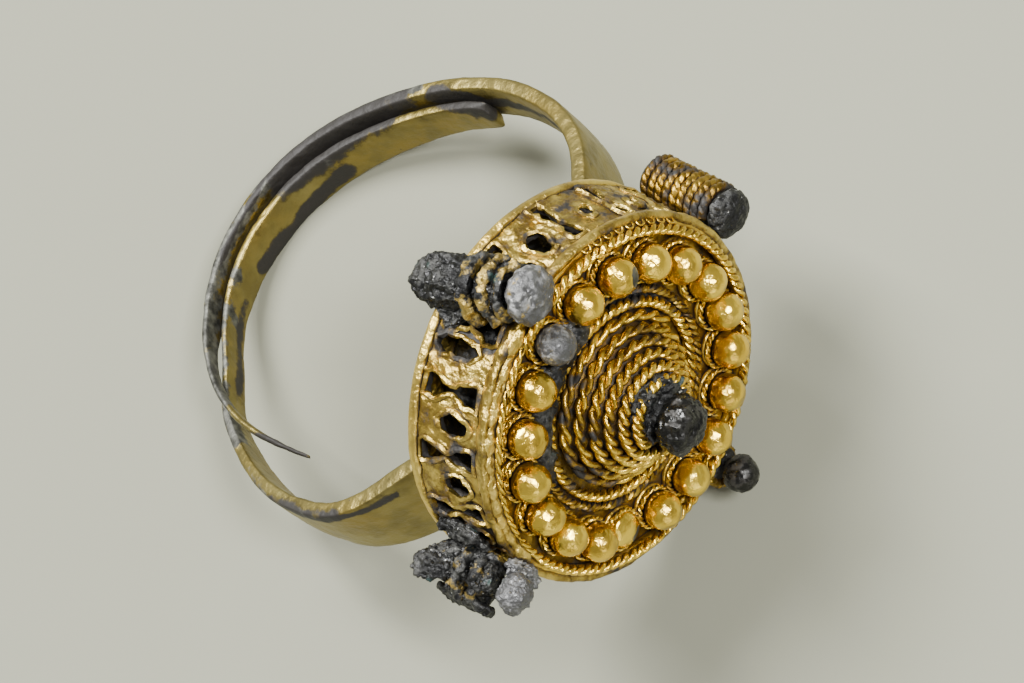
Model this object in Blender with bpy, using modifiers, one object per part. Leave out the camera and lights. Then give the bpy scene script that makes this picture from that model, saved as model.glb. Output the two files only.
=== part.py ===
"""Finger ring with a round openwork bezel, a ring of granules and a wire-wound cone, lying on its side.

The ring is built in its own frame: the origin is on the bezel's axis, in the plane of the rim wire,
+Z runs out through the cone, +Y along the finger and +X across the bezel. At the end the whole ring
is turned into the position in which it lies when loose. Sizes are in metres.
"""
from math import cos, floor, pi, radians, sin, sqrt

import bmesh
import bpy
import numpy as np
from mathutils import Matrix, Vector, noise

SOLDER_GAP = 0.00003        # left between pieces that touch
MERGE = 1e-7                # distance at which doubled points are one

# Bezel
RIM_WIRE_RADIUS = 0.00722   # to the middle of the plain wire
RIM_WIRE_THICKNESS = 0.00050
ROPE_INSET = 0.00020        # the twisted rope above the plain wire lies this far inside it
ROPE_THICKNESS = 0.00048
WALL_THICKNESS = 0.00042
WALL_HEIGHT = 0.00292
BASE_FLARE = 0.00078        # the base plate is this much wider than the middle of the rim wire
BASE_LIP = 0.00015          # the base plate stands out this far past the foot of the wall
BASE_THICKNESS = 0.00044
BASE_EDGE = 0.00012         # chamfer of the base plate's edge
TOP_PLATE_THICKNESS = 0.00036
RING_SIDES = 40             # sides of the large round pieces

# Openings of the wall: round loops with a waisted gap between each pair
LOOP_COUNT = 18
FIRST_LOOP_ANGLE = 7.0      # degrees from +X towards +Y
LOOP_WIDTH = 0.00102
LOOP_HEIGHT = 0.00148
LOOP_LIFT = 0.00178         # from the foot of the wall to the middle of a loop
WAIST_GAP_WIDTH = 0.00094
WAIST_WIDTH = 0.00036
WAIST_MARGIN = 0.00016      # of wall left above and below a waisted gap
WAIST_TOP_SHARE = 1.08      # width of a gap's top, as a share of its foot
WAIST_STRAIGHT_SHARE = 0.5  # of each half of a gap, up to where it starts to narrow
CRUSHED_SECTOR = (18.0, 62.0)
CRUSHED_SHARE = 0.62        # width left to the openings where the wall is pressed in
BROKEN_ANGLE = 105.0
BROKEN_WIDTH = 0.00086
BROKEN_TOP_SHARE = 0.80     # of the wall's height, up to where the broken opening reaches

# Granules around the cone
GRANULE_COUNT = 19
GRANULE_RADIUS = 0.00081
GRANULE_MARGIN = 0.00021    # between the granules and the rope round them
PLATE_SINK = 0.00009        # the top plate lies this far below the rim wire's plane
FIRST_GRANULE_ANGLE = 110.2
CRUSHED_GRANULE = 14        # its number, counted from one
CRUSHED_HEIGHT = 0.5        # share of its height that is left

# Cone
CONE_BASE_RADIUS = 0.00352
CONE_TOP_RADIUS = 0.00132
CONE_HEIGHT = 0.00218
CONE_WIRE_THICKNESS = 0.00052
CONE_TURNS = 5.5
CONE_POINTS_PER_TURN = 16
CONE_CORE_SIDES = 24
CONE_BALL_RADIUS = 0.00118
BALL_ROUGHNESS = 0.00004

# Hoop: one strip with overlapping ends
HOOP_RADIUS = 0.01068
HOOP_OFFSET = 0.0002        # its middle stands this far towards +X
HOOP_SEAT_SHARE = 0.845     # from the hoop's middle to the bezel, as a share of its radius
SEAT_SPAN = (30.0, 150.0)   # degrees along the strip between which it lies flat against the bezel
STRIP_CHAMFER = 0.00012
STRIP_STATIONS = 80
STRIP_START_ANGLE = -184.0  # of the pointed broken end, in degrees along the strip
STRIP_END_ANGLE = 352.0     # of the square end
STRIP_HALF_STEP = 0.5       # degrees to each side that give the direction along the strip
ARM_GAP = 0.00006           # between the two layers where the ends overlap
FREE_ARM_ANGLE = 218.0      # up to here the inner arm runs free
TUCKED_ARM_ANGLE = 238.0    # from here on it lies against the outer one

# Outline of the strip's outer side: degrees along the strip and shares of HOOP_RADIUS
STRIP_OUTLINE = [(-187, 0.735), (-170, 0.765), (-143, 0.876), (-118, 0.970), (-98, 1.028), (-74, 1.042),
                 (-35, 0.975), (5, 1.000), (30, 1.003), (46, 0.966), (66, 0.962), (118, 0.945), (137, 0.940),
                 (155, 0.995), (172, 0.970), (200, 0.927), (218, 0.927)]

# Thickness and width of the strip, and how far its middle stands towards +Y, at the same kind of angles
STRIP_THICKNESSES = [(-187, 0.00014), (-165, 0.00030), (-120, 0.00042), (-95, 0.00055), (-60, 0.00070),
                     (5, 0.00084), (40, 0.00088), (150, 0.00088), (200, 0.00062), (240, 0.00043),
                     (270, 0.00054), (310, 0.00060), (356, 0.00055)]
STRIP_WIDTHS = [(-187, 0.00020), (-176, 0.00045), (-143, 0.00065), (-128, 0.00075), (-112, 0.00150),
                (-95, 0.00200), (-60, 0.00210), (5, 0.00260), (46, 0.00420), (66, 0.00540), (118, 0.00540),
                (140, 0.00440), (170, 0.00290), (200, 0.00190), (218, 0.00150), (240, 0.00145),
                (265, 0.00200), (295, 0.00230), (325, 0.00205), (356, 0.00185)]
STRIP_SHIFTS = [(-187, 0.00085), (-150, 0.00085), (-128, 0.00080), (-112, 0.00035), (-95, 0.00010),
                (-60, 0.00005), (5, 0.0), (160, 0.0), (185, -0.00010), (205, -0.00036), (218, -0.00040),
                (240, -0.00038), (265, -0.00055), (295, -0.00068), (325, -0.00055), (356, -0.00035)]

# Turrets: a coil of wire with a ball on top, one at each quarter of the bezel. Each has its angle, the
# height of its top, how far its foot reaches below the base plate, the radii of tube and ball, the height of
# the ball as a share of its width, how deep the tube is pressed in, and how many degrees its top leans
# outwards and along the rim.
COIL_PITCH = 0.00040
COIL_DEPTH = 0.00011
COIL_FLAT_SHARE = 0.22      # half the worn flat on a turn of the wire, as a share of the pitch
TURRET_SIDES = 12
UPPER_TURRET = {"angle": -6.0, "top": -0.00106, "below_base": 0.00111, "radius": 0.00115, "ball": 0.00112,
                "squash": 0.62, "pressed_in": 0.00004, "outwards": -6.0, "along": 0.0}
FRONT_TURRET = {"angle": 89.0, "top": -0.00010, "below_base": 0.00123, "radius": 0.00100, "ball": 0.00112,
                "squash": 0.78, "pressed_in": 0.0006, "outwards": 0.0, "along": 10.0}
LOWER_TURRET = {"angle": 173.5, "top": 0.00012, "below_base": -0.00017, "radius": 0.00100, "ball": 0.00092,
                "squash": 0.95, "pressed_in": 0.0002, "outwards": 0.0, "along": 0.0}
REAR_TURRET = {"angle": -85.5, "top": -0.00050, "below_base": 0.00083, "radius": 0.00100, "ball": 0.00087,
               "squash": 0.97, "pressed_in": 0.0, "outwards": 0.0, "along": 0.0}

# Corrosion: outlines of the two crusted turrets, as shares of the radius and of the height from the top
FRONT_CRUST = [(0.96, 0.0), (1.14, 0.042), (1.14, 0.075), (0.86, 0.117), (1.12, 0.175), (1.12, 0.217),
               (0.84, 0.271), (1.10, 0.333), (1.10, 0.375), (1.00, 0.438), (1.16, 0.583), (1.20, 0.729),
               (1.02, 0.875), (0.58, 1.0)]
LOWER_CRUST = [(0.55, 0.0), (0.92, 0.097), (1.02, 0.207), (0.80, 0.290), (1.08, 0.414), (1.22, 0.566),
               (1.05, 0.746), (0.50, 0.917)]
FRONT_CRUST_SHARE = 0.40    # of the front turret's height, from where it is lumpy down to the foot
FRONT_CRUST_LUMP = 0.00022
LOWER_CRUST_LUMP = 0.00034
CRUST_GRAIN = 0.0011        # size of the lumps of corrosion
CRUST_PLACE = Vector((3.1, 1.7, 0.0))   # where in the noise the lumps are read

# Lying position
TILT_LIMITS = (8.0, 50.0)   # degrees between which the finger axis leans from the upright
LYING_ROLL = -4.0           # degrees, at which the weight is over the middle of the flat spots
WORN_FLAT = 0.00025         # depth of the flat spots on which the ring lies
TILT_SEARCH_STEPS = 40

BASE_TOP = -RIM_WIRE_THICKNESS / 2 - SOLDER_GAP - WALL_HEIGHT - SOLDER_GAP
BASE_UNDERSIDE = BASE_TOP - BASE_THICKNESS
WALL_FOOT = BASE_TOP + SOLDER_GAP
WALL_TOP = WALL_FOOT + WALL_HEIGHT
WALL_TOP_RADIUS = RIM_WIRE_RADIUS + WALL_THICKNESS / 2
WALL_INNER_TOP = WALL_TOP_RADIUS - WALL_THICKNESS
BASE_RADIUS = RIM_WIRE_RADIUS + BASE_FLARE
WALL_FOOT_RADIUS = BASE_RADIUS - BASE_LIP
PLATE_TOP = -PLATE_SINK
ROPE_RADIUS = RIM_WIRE_RADIUS - ROPE_INSET
GRANULE_CIRCLE = ROPE_RADIUS - ROPE_THICKNESS / 2 - GRANULE_MARGIN - GRANULE_RADIUS

COLOURS = {
    "bright_gold": ((0.62, 0.40, 0.09), 1.0, 0.32),
    "pale_gold": ((0.42, 0.34, 0.16), 1.0, 0.48),
    "dark_crust": ((0.05, 0.05, 0.05), 0.2, 0.80),
    "grey_crust": ((0.14, 0.14, 0.14), 0.3, 0.70),
}


def clear_scene():
    for old in list(bpy.data.objects):
        bpy.data.objects.remove(old, do_unlink=True)


def new_collection(name):
    collection = bpy.data.collections.new(name)
    bpy.context.scene.collection.children.link(collection)
    return collection


def finish_for(name):
    """The named plain material."""
    if name in bpy.data.materials:
        return bpy.data.materials[name]
    colour, metallic, roughness = COLOURS[name]
    material = bpy.data.materials.new(name)
    material.use_nodes = True
    shader = material.node_tree.nodes["Principled BSDF"]
    shader.inputs["Base Color"].default_value = (*colour, 1.0)
    shader.inputs["Metallic"].default_value = metallic
    shader.inputs["Roughness"].default_value = roughness
    return material


def add_object(name, mesh, collection, finish=None):
    piece = bpy.data.objects.new(name, mesh)
    collection.objects.link(piece)
    if finish and not mesh.materials:
        mesh.materials.append(finish_for(finish))
    return piece


def mesh_from(name, bm):
    """A mesh with its doubled points merged and its faces pointing out."""
    bmesh.ops.remove_doubles(bm, verts=bm.verts[:], dist=MERGE)
    bmesh.ops.recalc_face_normals(bm, faces=bm.faces[:])
    mesh = bpy.data.meshes.new(name)
    bm.to_mesh(mesh)
    bm.free()
    return mesh


def turned(name, profile, sides, collection, finish, closed=False):
    """A turned piece. The profile is a list of (radius, height) that runs down the outer side."""
    bm = bmesh.new()
    points = [bm.verts.new((radius, 0.0, height)) for radius, height in profile]
    for first, second in zip(points, points[1:]):
        bm.edges.new((first, second))
    if closed:
        bm.edges.new((points[-1], points[0]))
    mesh = bpy.data.meshes.new(name)
    bm.to_mesh(mesh)
    bm.free()
    piece = add_object(name, mesh, collection, finish)
    screw = piece.modifiers.new("Screw", "SCREW")
    screw.axis = "Z"
    screw.angle = 2 * pi
    screw.steps = sides
    screw.render_steps = sides
    screw.use_merge_vertices = True
    screw.merge_threshold = MERGE
    return piece


def made_mesh(piece):
    """Replaces the piece's mesh by the evaluated one and removes its modifiers."""
    bpy.context.view_layer.update()
    evaluated = piece.evaluated_get(bpy.context.evaluated_depsgraph_get())
    mesh = bpy.data.meshes.new_from_object(evaluated)
    bm = bmesh.new()
    bm.from_mesh(mesh)
    bmesh.ops.remove_doubles(bm, verts=bm.verts[:], dist=MERGE)
    bmesh.ops.recalc_face_normals(bm, faces=bm.faces[:])
    bm.to_mesh(mesh)
    bm.free()
    mesh.name = piece.name
    piece.modifiers.clear()
    piece.data = mesh
    return piece


def cut(piece, cutter, name):
    boolean = piece.modifiers.new(name, "BOOLEAN")
    boolean.operation = "DIFFERENCE"
    boolean.solver = "EXACT"
    boolean.object = cutter


def as_cutter(piece):
    piece.hide_render = True
    piece.display_type = "WIRE"
    return piece


def round_section(radius, height, thickness, sides):
    """Profile of a wire bent to a circle, seen at +X, running down its outer side."""
    half = thickness / 2
    steps = [pi / 2 - 2 * pi * (i + 0.5) / sides for i in range(sides)]
    return [(radius + half * cos(a), height + half * sin(a)) for a in steps]


def smooth_value(table, angle):
    """Value of a table of (angle, value) at an angle, on a smooth curve through its points."""
    if angle <= table[0][0]:
        return table[0][1]
    if angle >= table[-1][0]:
        return table[-1][1]
    index = next(i for i in range(len(table) - 1) if angle <= table[i + 1][0])
    before = table[max(index - 1, 0)]
    start = table[index]
    end = table[index + 1]
    after = table[min(index + 2, len(table) - 1)]
    span = end[0] - start[0]
    share = (angle - start[0]) / span
    slope_in = (end[1] - before[1]) / (end[0] - before[0]) * span
    slope_out = (after[1] - start[1]) / (after[0] - start[0]) * span
    cubic = share * share * (3 - 2 * share)
    leaving = share * (1 - share) ** 2 * slope_in
    arriving = share * share * (share - 1) * slope_out
    return start[1] + (end[1] - start[1]) * cubic + leaving + arriving


def outer_arm_radius(angle):
    """Distance of the strip's outer side from the hoop's middle, where nothing lies over it."""
    radius = HOOP_RADIUS * smooth_value(STRIP_OUTLINE, angle)
    low, high = SEAT_SPAN
    if low < angle < high:
        radius = min(radius, HOOP_RADIUS * HOOP_SEAT_SHARE / sin(radians(angle)))
    return radius


def strip_radius(angle):
    """The same along the whole strip: past the crossing the inner arm tucks in under the outer one."""
    if angle <= FREE_ARM_ANGLE:
        return outer_arm_radius(angle)
    over = angle - 360
    tucked = outer_arm_radius(over) - smooth_value(STRIP_THICKNESSES, over) - ARM_GAP
    share = min((angle - FREE_ARM_ANGLE) / (TUCKED_ARM_ANGLE - FREE_ARM_ANGLE), 1.0)
    free = outer_arm_radius(FREE_ARM_ANGLE)
    return free + (tucked - free) * share * share * (3 - 2 * share)


def strip_point(angle):
    """Place of the strip's outer side in the plane across the finger."""
    middle_height = BASE_UNDERSIDE - SOLDER_GAP - HOOP_RADIUS * HOOP_SEAT_SHARE
    radius = strip_radius(angle)
    across = HOOP_OFFSET + radius * cos(radians(angle))
    return Vector((across, 0.0, middle_height + radius * sin(radians(angle))))


def strip_section(angle):
    """The eight corners of the strip's chamfered section at an angle."""
    here = strip_point(angle)
    along = (strip_point(angle + STRIP_HALF_STEP) - strip_point(angle - STRIP_HALF_STEP)).normalized()
    inward = Vector((-along.z, 0.0, along.x))
    width = smooth_value(STRIP_WIDTHS, angle)
    shift = smooth_value(STRIP_SHIFTS, angle)
    thickness = smooth_value(STRIP_THICKNESSES, angle)
    chamfer = min(STRIP_CHAMFER, width / 3, thickness / 3)
    low = shift - width / 2
    high = shift + width / 2
    corners = [(0, low + chamfer), (0, high - chamfer), (chamfer, high), (thickness - chamfer, high),
               (thickness, high - chamfer), (thickness, low + chamfer), (thickness - chamfer, low),
               (chamfer, low)]
    return [here + inward * depth + Vector((0.0, side, 0.0)) for depth, side in corners]


def make_hoop(collection):
    """A strip of unlike sections, from the pointed broken end to the square one."""
    bm = bmesh.new()
    step = (STRIP_END_ANGLE - STRIP_START_ANGLE) / STRIP_STATIONS
    loops = []
    for station in range(STRIP_STATIONS + 1):
        corners = [bm.verts.new(point) for point in strip_section(STRIP_START_ANGLE + step * station)]
        loops.append([bm.edges.new((corners[i - 1], corners[i])) for i in range(len(corners))])
    for first, second in zip(loops, loops[1:]):
        bmesh.ops.bridge_loops(bm, edges=first + second)
    bmesh.ops.holes_fill(bm, edges=loops[0] + loops[-1], sides=0)
    return add_object("hoop", mesh_from("hoop", bm), collection, "pale_gold")


def make_base(collection):
    inner = BASE_RADIUS - BASE_EDGE
    profile = [(0, BASE_TOP), (inner, BASE_TOP), (BASE_RADIUS, BASE_TOP - BASE_EDGE),
               (BASE_RADIUS, BASE_UNDERSIDE + BASE_EDGE), (inner, BASE_UNDERSIDE), (0, BASE_UNDERSIDE)]
    return turned("base_plate", profile, RING_SIDES, collection, "pale_gold")


def prism(bm, outline, angle, inner, outer):
    """Adds a prism that points away from the axis. The outline is a list of (sideways, height)."""
    turn = Matrix.Rotation(radians(angle), 4, "Z")
    points = [bm.verts.new(turn @ Vector((inner, side, height))) for side, height in outline]
    face = bm.faces.new(points)
    grown = bmesh.ops.extrude_face_region(bm, geom=[face])["geom"]
    moved = [item for item in grown if isinstance(item, bmesh.types.BMVert)]
    bmesh.ops.translate(bm, verts=moved, vec=turn.to_3x3() @ Vector((outer - inner, 0.0, 0.0)))


def loop_outline(width, height, middle):
    """An eight-sided oval."""
    turns = [2 * pi * (i + 0.5) / 8 for i in range(8)]
    return [(width / 2 * cos(a) / cos(pi / 8), middle + height / 2 * sin(a) / cos(pi / 8)) for a in turns]


def waist_outline(width, waist):
    """An upright gap that is narrow at half height."""
    foot = WALL_FOOT + WAIST_MARGIN
    top = WALL_TOP - WAIST_MARGIN
    middle = (foot + top) / 2
    straight = (middle - foot) * WAIST_STRAIGHT_SHARE
    low_half = width / 2
    high_half = low_half * WAIST_TOP_SHARE
    right = [(low_half, foot), (low_half, foot + straight), (waist / 2, middle), (high_half, top - straight),
             (high_half, top)]
    return right + [(-side, height) for side, height in reversed(right)]


def opening_share(angle):
    """Share of its full width that an opening has at an angle."""
    low, high = CRUSHED_SECTOR
    return CRUSHED_SHARE if low < angle % 360 < high else 1.0


def make_wall(collection, cutters):
    """The ribbon wall, opened by loops and waisted gaps."""
    profile = [(WALL_TOP_RADIUS, WALL_TOP), (WALL_FOOT_RADIUS, WALL_FOOT),
               (WALL_FOOT_RADIUS - WALL_THICKNESS, WALL_FOOT), (WALL_INNER_TOP, WALL_TOP)]
    wall = turned("openwork_wall", profile, RING_SIDES, collection, "bright_gold", closed=True)
    bm = bmesh.new()
    inner = WALL_INNER_TOP - WALL_THICKNESS
    outer = WALL_FOOT_RADIUS + WALL_THICKNESS
    pitch = 360.0 / LOOP_COUNT
    middle = WALL_FOOT + LOOP_LIFT
    for index in range(LOOP_COUNT):
        angle = FIRST_LOOP_ANGLE + pitch * index
        if abs(angle - BROKEN_ANGLE) < pitch / 2:
            angle = BROKEN_ANGLE
            low = WALL_FOOT + WAIST_MARGIN
            high = WALL_FOOT + WALL_HEIGHT * BROKEN_TOP_SHARE
            outline = loop_outline(BROKEN_WIDTH, high - low, (low + high) / 2)
        else:
            share = opening_share(angle)
            outline = loop_outline(LOOP_WIDTH * share, LOOP_HEIGHT * share, middle)
        prism(bm, outline, angle, inner, outer)
        gap_angle = FIRST_LOOP_ANGLE + pitch * (index + 0.5)
        share = opening_share(gap_angle)
        prism(bm, waist_outline(WAIST_GAP_WIDTH * share, WAIST_WIDTH), gap_angle, inner, outer)
    cutter = as_cutter(add_object("wall_openings", mesh_from("wall_openings", bm), cutters))
    cut(wall, cutter, "Openings")
    return wall


def make_top(collection):
    """The plate under the granules, with the two wires around it."""
    rim_inner = RIM_WIRE_RADIUS - RIM_WIRE_THICKNESS / 2
    radius = min(rim_inner, WALL_INNER_TOP) - SOLDER_GAP
    profile = [(0, PLATE_TOP), (radius, PLATE_TOP), (radius, PLATE_TOP - TOP_PLATE_THICKNESS),
               (0, PLATE_TOP - TOP_PLATE_THICKNESS)]
    plate = turned("top_plate", profile, RING_SIDES, collection, "bright_gold")
    wire = turned("rim_wire", round_section(RIM_WIRE_RADIUS, 0.0, RIM_WIRE_THICKNESS, 6), RING_SIDES,
                  collection, "bright_gold", closed=True)
    apart = (RIM_WIRE_THICKNESS + ROPE_THICKNESS) / 2 + SOLDER_GAP
    rise = sqrt(apart ** 2 - (RIM_WIRE_RADIUS - ROPE_RADIUS) ** 2)
    rope = turned("rim_rope", round_section(ROPE_RADIUS, rise, ROPE_THICKNESS, 6), RING_SIDES,
                  collection, "bright_gold", closed=True)
    return [plate, wire, rope]


def ball_mesh(name, radius):
    bm = bmesh.new()
    bmesh.ops.create_icosphere(bm, subdivisions=2, radius=radius)
    return mesh_from(name, bm)


def make_granules(collection):
    granules = []
    height = PLATE_TOP + SOLDER_GAP + GRANULE_RADIUS
    for index in range(GRANULE_COUNT):
        number = index + 1
        name = f"granule_{number:02d}"
        angle = radians(FIRST_GRANULE_ANGLE - 360.0 / GRANULE_COUNT * index)
        finish = "grey_crust" if number == 2 else "bright_gold"
        mesh = ball_mesh(name, GRANULE_RADIUS)
        lift = height
        if number == CRUSHED_GRANULE:
            mesh.transform(Matrix.Diagonal((1.0, 1.0, CRUSHED_HEIGHT, 1.0)))
            lift = PLATE_TOP + SOLDER_GAP + GRANULE_RADIUS * CRUSHED_HEIGHT
        granule = add_object(name, mesh, collection, finish)
        granule.location = (GRANULE_CIRCLE * cos(angle), GRANULE_CIRCLE * sin(angle), lift)
        granules.append(granule)
    return granules


def cone_wire_place(share):
    """Radius and height of the wire's middle, from the foot (0) to the top (1)."""
    half = CONE_WIRE_THICKNESS / 2
    foot_height = PLATE_TOP + SOLDER_GAP + half
    radius = CONE_BASE_RADIUS + (CONE_TOP_RADIUS - CONE_BASE_RADIUS) * share
    return radius, foot_height + CONE_HEIGHT * share


def cone_core_radius(height):
    """Radius of the core's side, which runs just inside the wire."""
    half = CONE_WIRE_THICKNESS / 2
    taper = (CONE_BASE_RADIUS - CONE_TOP_RADIUS) / CONE_HEIGHT
    foot_radius, foot_height = cone_wire_place(0.0)
    inset = (half + SOLDER_GAP) * sqrt(1 + taper ** 2)
    return foot_radius - inset - (height - foot_height) * taper


def make_cone(collection):
    """The core, the wire wound round it and the ball at its point."""
    half = CONE_WIRE_THICKNESS / 2
    top_radius, top_height = cone_wire_place(1.0)
    reach = CONE_BALL_RADIUS + half + SOLDER_GAP + 2 * BALL_ROUGHNESS
    ball_height = top_height + sqrt(max(reach ** 2 - top_radius ** 2, 0.0))
    core_foot = PLATE_TOP + SOLDER_GAP
    core_top = ball_height - CONE_BALL_RADIUS - 2 * BALL_ROUGHNESS
    profile = [(0, core_top), (cone_core_radius(core_top), core_top),
               (cone_core_radius(core_foot), core_foot), (0, core_foot)]
    core = turned("cone_core", profile, CONE_CORE_SIDES, collection, "bright_gold")

    curve = bpy.data.curves.new("cone_wire", "CURVE")
    curve.dimensions = "3D"
    curve.bevel_depth = half
    curve.bevel_resolution = 1
    curve.use_fill_caps = True
    count = floor(CONE_TURNS * CONE_POINTS_PER_TURN)
    spline = curve.splines.new("POLY")
    spline.points.add(count)
    for index in range(count + 1):
        share = index / count
        radius, height = cone_wire_place(share)
        turn = 2 * pi * CONE_TURNS * share
        spline.points[index].co = (radius * cos(turn), radius * sin(turn), height, 1.0)
    wire = bpy.data.objects.new("cone_wire", curve)
    collection.objects.link(wire)
    curve.materials.append(finish_for("bright_gold"))

    ball = add_object("cone_ball", ball_mesh("cone_ball", CONE_BALL_RADIUS), collection, "dark_crust")
    roughen(ball, BALL_ROUGHNESS)
    ball.location = (0.0, 0.0, ball_height)
    return [core, wire, ball]


def roughen(piece, amount, below=None):
    """Moves the points in and out by a lumpy noise, all over or only below a height."""
    for point in piece.data.vertices:
        if below is not None and point.co.z > below:
            continue
        place = point.co / CRUST_GRAIN
        lump = noise.noise(place + CRUST_PLACE + Vector((0.0, 0.0, place.z)))
        outward = Vector((point.co.x, point.co.y, 0.0)) if below is not None else point.co.copy()
        point.co += outward.normalized() * amount * lump * 2


def coil_profile(foot, top, radius):
    """Profile of a close coil of wire with flat ends, from the top down."""
    count = max(2, round((top - foot) / COIL_PITCH))
    pitch = (top - foot) / count
    flat = pitch * COIL_FLAT_SHARE
    groove = radius - COIL_DEPTH
    profile = [(0, top), (groove, top)]
    for turn in range(count):
        height = top - pitch * (turn + 0.5)
        profile += [(radius, height + flat), (radius, height - flat)]
        profile.append((groove, height - pitch / 2))
    profile.append((0, foot))
    return profile


def turret_foot(sizes):
    return BASE_UNDERSIDE - sizes["below_base"]


def stand(piece, sizes):
    """Puts a turret piece that is built on the axis in its place at the bezel's side."""
    reach = BASE_RADIUS + sizes["radius"] + SOLDER_GAP - sizes["pressed_in"]
    turn = Matrix.Rotation(radians(sizes["angle"]), 4, "Z")
    middle = (turret_foot(sizes) + sizes["top"]) / 2
    place = Matrix.Translation((reach, 0.0, middle))
    tip = Matrix.Rotation(radians(sizes["outwards"]), 4, "Y")
    lean = Matrix.Rotation(radians(sizes["along"]), 4, "X")
    piece.matrix_world = turn @ place @ tip @ lean @ Matrix.Translation((0.0, 0.0, -middle))
    return piece


def turret_ball(name, sizes, collection):
    mesh = ball_mesh(f"{name}_turret_ball", sizes["ball"])
    mesh.transform(Matrix.Diagonal((1.0, 1.0, sizes["squash"], 1.0)))
    rise = sizes["ball"] * sizes["squash"]
    ball = add_object(f"{name}_turret_ball", mesh, collection, "dark_crust")
    roughen(ball, BALL_ROUGHNESS)
    mesh.transform(Matrix.Translation((0.0, 0.0, sizes["top"] + rise + SOLDER_GAP + 2 * BALL_ROUGHNESS)))
    return stand(ball, sizes)


def coiled_turret(name, sizes, collection, finish):
    """A turret that has kept its coil."""
    profile = coil_profile(turret_foot(sizes), sizes["top"], sizes["radius"])
    tube = turned(f"{name}_turret_tube", profile, TURRET_SIDES, collection, finish)
    return [stand(tube, sizes), turret_ball(name, sizes, collection)]


def crusted_turret(name, sizes, collection, outline, lump, smooth_foot, cutter):
    """A turret of which corrosion has made a lump, below the height down to which it is smooth."""
    top = sizes["top"]
    foot = turret_foot(sizes)
    profile = [(0, top)]
    profile += [(sizes["radius"] * radius, top - (top - foot) * share) for radius, share in outline]
    profile.append((0, foot))
    tube = turned(f"{name}_turret_tube", profile, TURRET_SIDES, collection, "dark_crust")
    made_mesh(tube)
    roughen(tube, lump, below=smooth_foot)
    stand(tube, sizes)
    cut(tube, cutter, "Against the bezel")
    return [tube, turret_ball(name, sizes, collection)]


def bezel_outline(cutters):
    """The outside of the bezel with the gap round it, as a cutter."""
    gap = SOLDER_GAP
    high = RIM_WIRE_THICKNESS + ROPE_THICKNESS
    rope_edge = ROPE_RADIUS + ROPE_THICKNESS / 2 + gap
    wire_edge = RIM_WIRE_RADIUS + RIM_WIRE_THICKNESS / 2 + gap
    profile = [(0, high), (rope_edge, high), (rope_edge, RIM_WIRE_THICKNESS),
               (wire_edge, RIM_WIRE_THICKNESS / 2), (wire_edge, WALL_TOP + gap),
               (WALL_TOP_RADIUS + gap, WALL_TOP + gap),
               (WALL_FOOT_RADIUS + gap, BASE_TOP + gap), (BASE_RADIUS + gap, BASE_TOP + gap),
               (BASE_RADIUS + gap, BASE_UNDERSIDE - gap), (0, BASE_UNDERSIDE - gap)]
    return as_cutter(turned("bezel_outside", profile, RING_SIDES, cutters, "bright_gold"))


def make_turrets(collection, cutters):
    """Four turrets. The front and the lower one have lost their shape to corrosion."""
    drum = bezel_outline(cutters)
    parts = coiled_turret("upper", UPPER_TURRET, collection, "bright_gold")
    parts += coiled_turret("rear", REAR_TURRET, collection, "pale_gold")
    height = FRONT_TURRET["top"] - turret_foot(FRONT_TURRET)
    smooth_foot = FRONT_TURRET["top"] - height * FRONT_CRUST_SHARE
    parts += crusted_turret("front", FRONT_TURRET, collection, FRONT_CRUST, FRONT_CRUST_LUMP, smooth_foot,
                            drum)
    parts += crusted_turret("lower", LOWER_TURRET, collection, LOWER_CRUST, LOWER_CRUST_LUMP,
                            LOWER_TURRET["top"], drum)
    return parts


def world_triangles(parts):
    """The corners of every triangle of the parts, as an array of shape (count, 3, 3)."""
    bpy.context.view_layer.update()
    graph = bpy.context.evaluated_depsgraph_get()
    corners = []
    for part in parts:
        evaluated = part.evaluated_get(graph)
        mesh = evaluated.to_mesh()
        mesh.calc_loop_triangles()
        places = np.array([part.matrix_world @ vertex.co for vertex in mesh.vertices])
        corners.append(places[np.array([triangle.vertices[:] for triangle in mesh.loop_triangles])])
        evaluated.to_mesh_clear()
    return np.concatenate(corners)


def centre_of_mass(triangles):
    first, second, third = triangles[:, 0], triangles[:, 1], triangles[:, 2]
    volumes = (first * np.cross(second, third)).sum(axis=1) / 6
    return (triangles.sum(axis=1) / 4 * volumes[:, None]).sum(axis=0) / volumes.sum()


def lying_turn(tilt):
    """The turn from the ring's own frame to lying, with the finger axis leaning by the tilt."""
    upright = Matrix.Rotation(pi / 2 - tilt, 4, "X")
    heading = Matrix.Rotation(pi / 2, 4, "Z")
    return Matrix.Rotation(radians(LYING_ROLL), 4, "X") @ heading @ upright


def lying_tilt(triangles):
    """The tilt at which the middle of the mass is lowest."""
    places = triangles.reshape(-1, 3) - centre_of_mass(triangles)

    def height(tilt):
        down = -np.array(lying_turn(tilt)[2][:3])
        return (places @ down).max()

    low, high = (radians(limit) for limit in TILT_LIMITS)
    for _ in range(TILT_SEARCH_STEPS):
        third = (high - low) / 3
        if height(low + third) < height(high - third):
            high -= third
        else:
            low += third
    return (low + high) / 2


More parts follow.
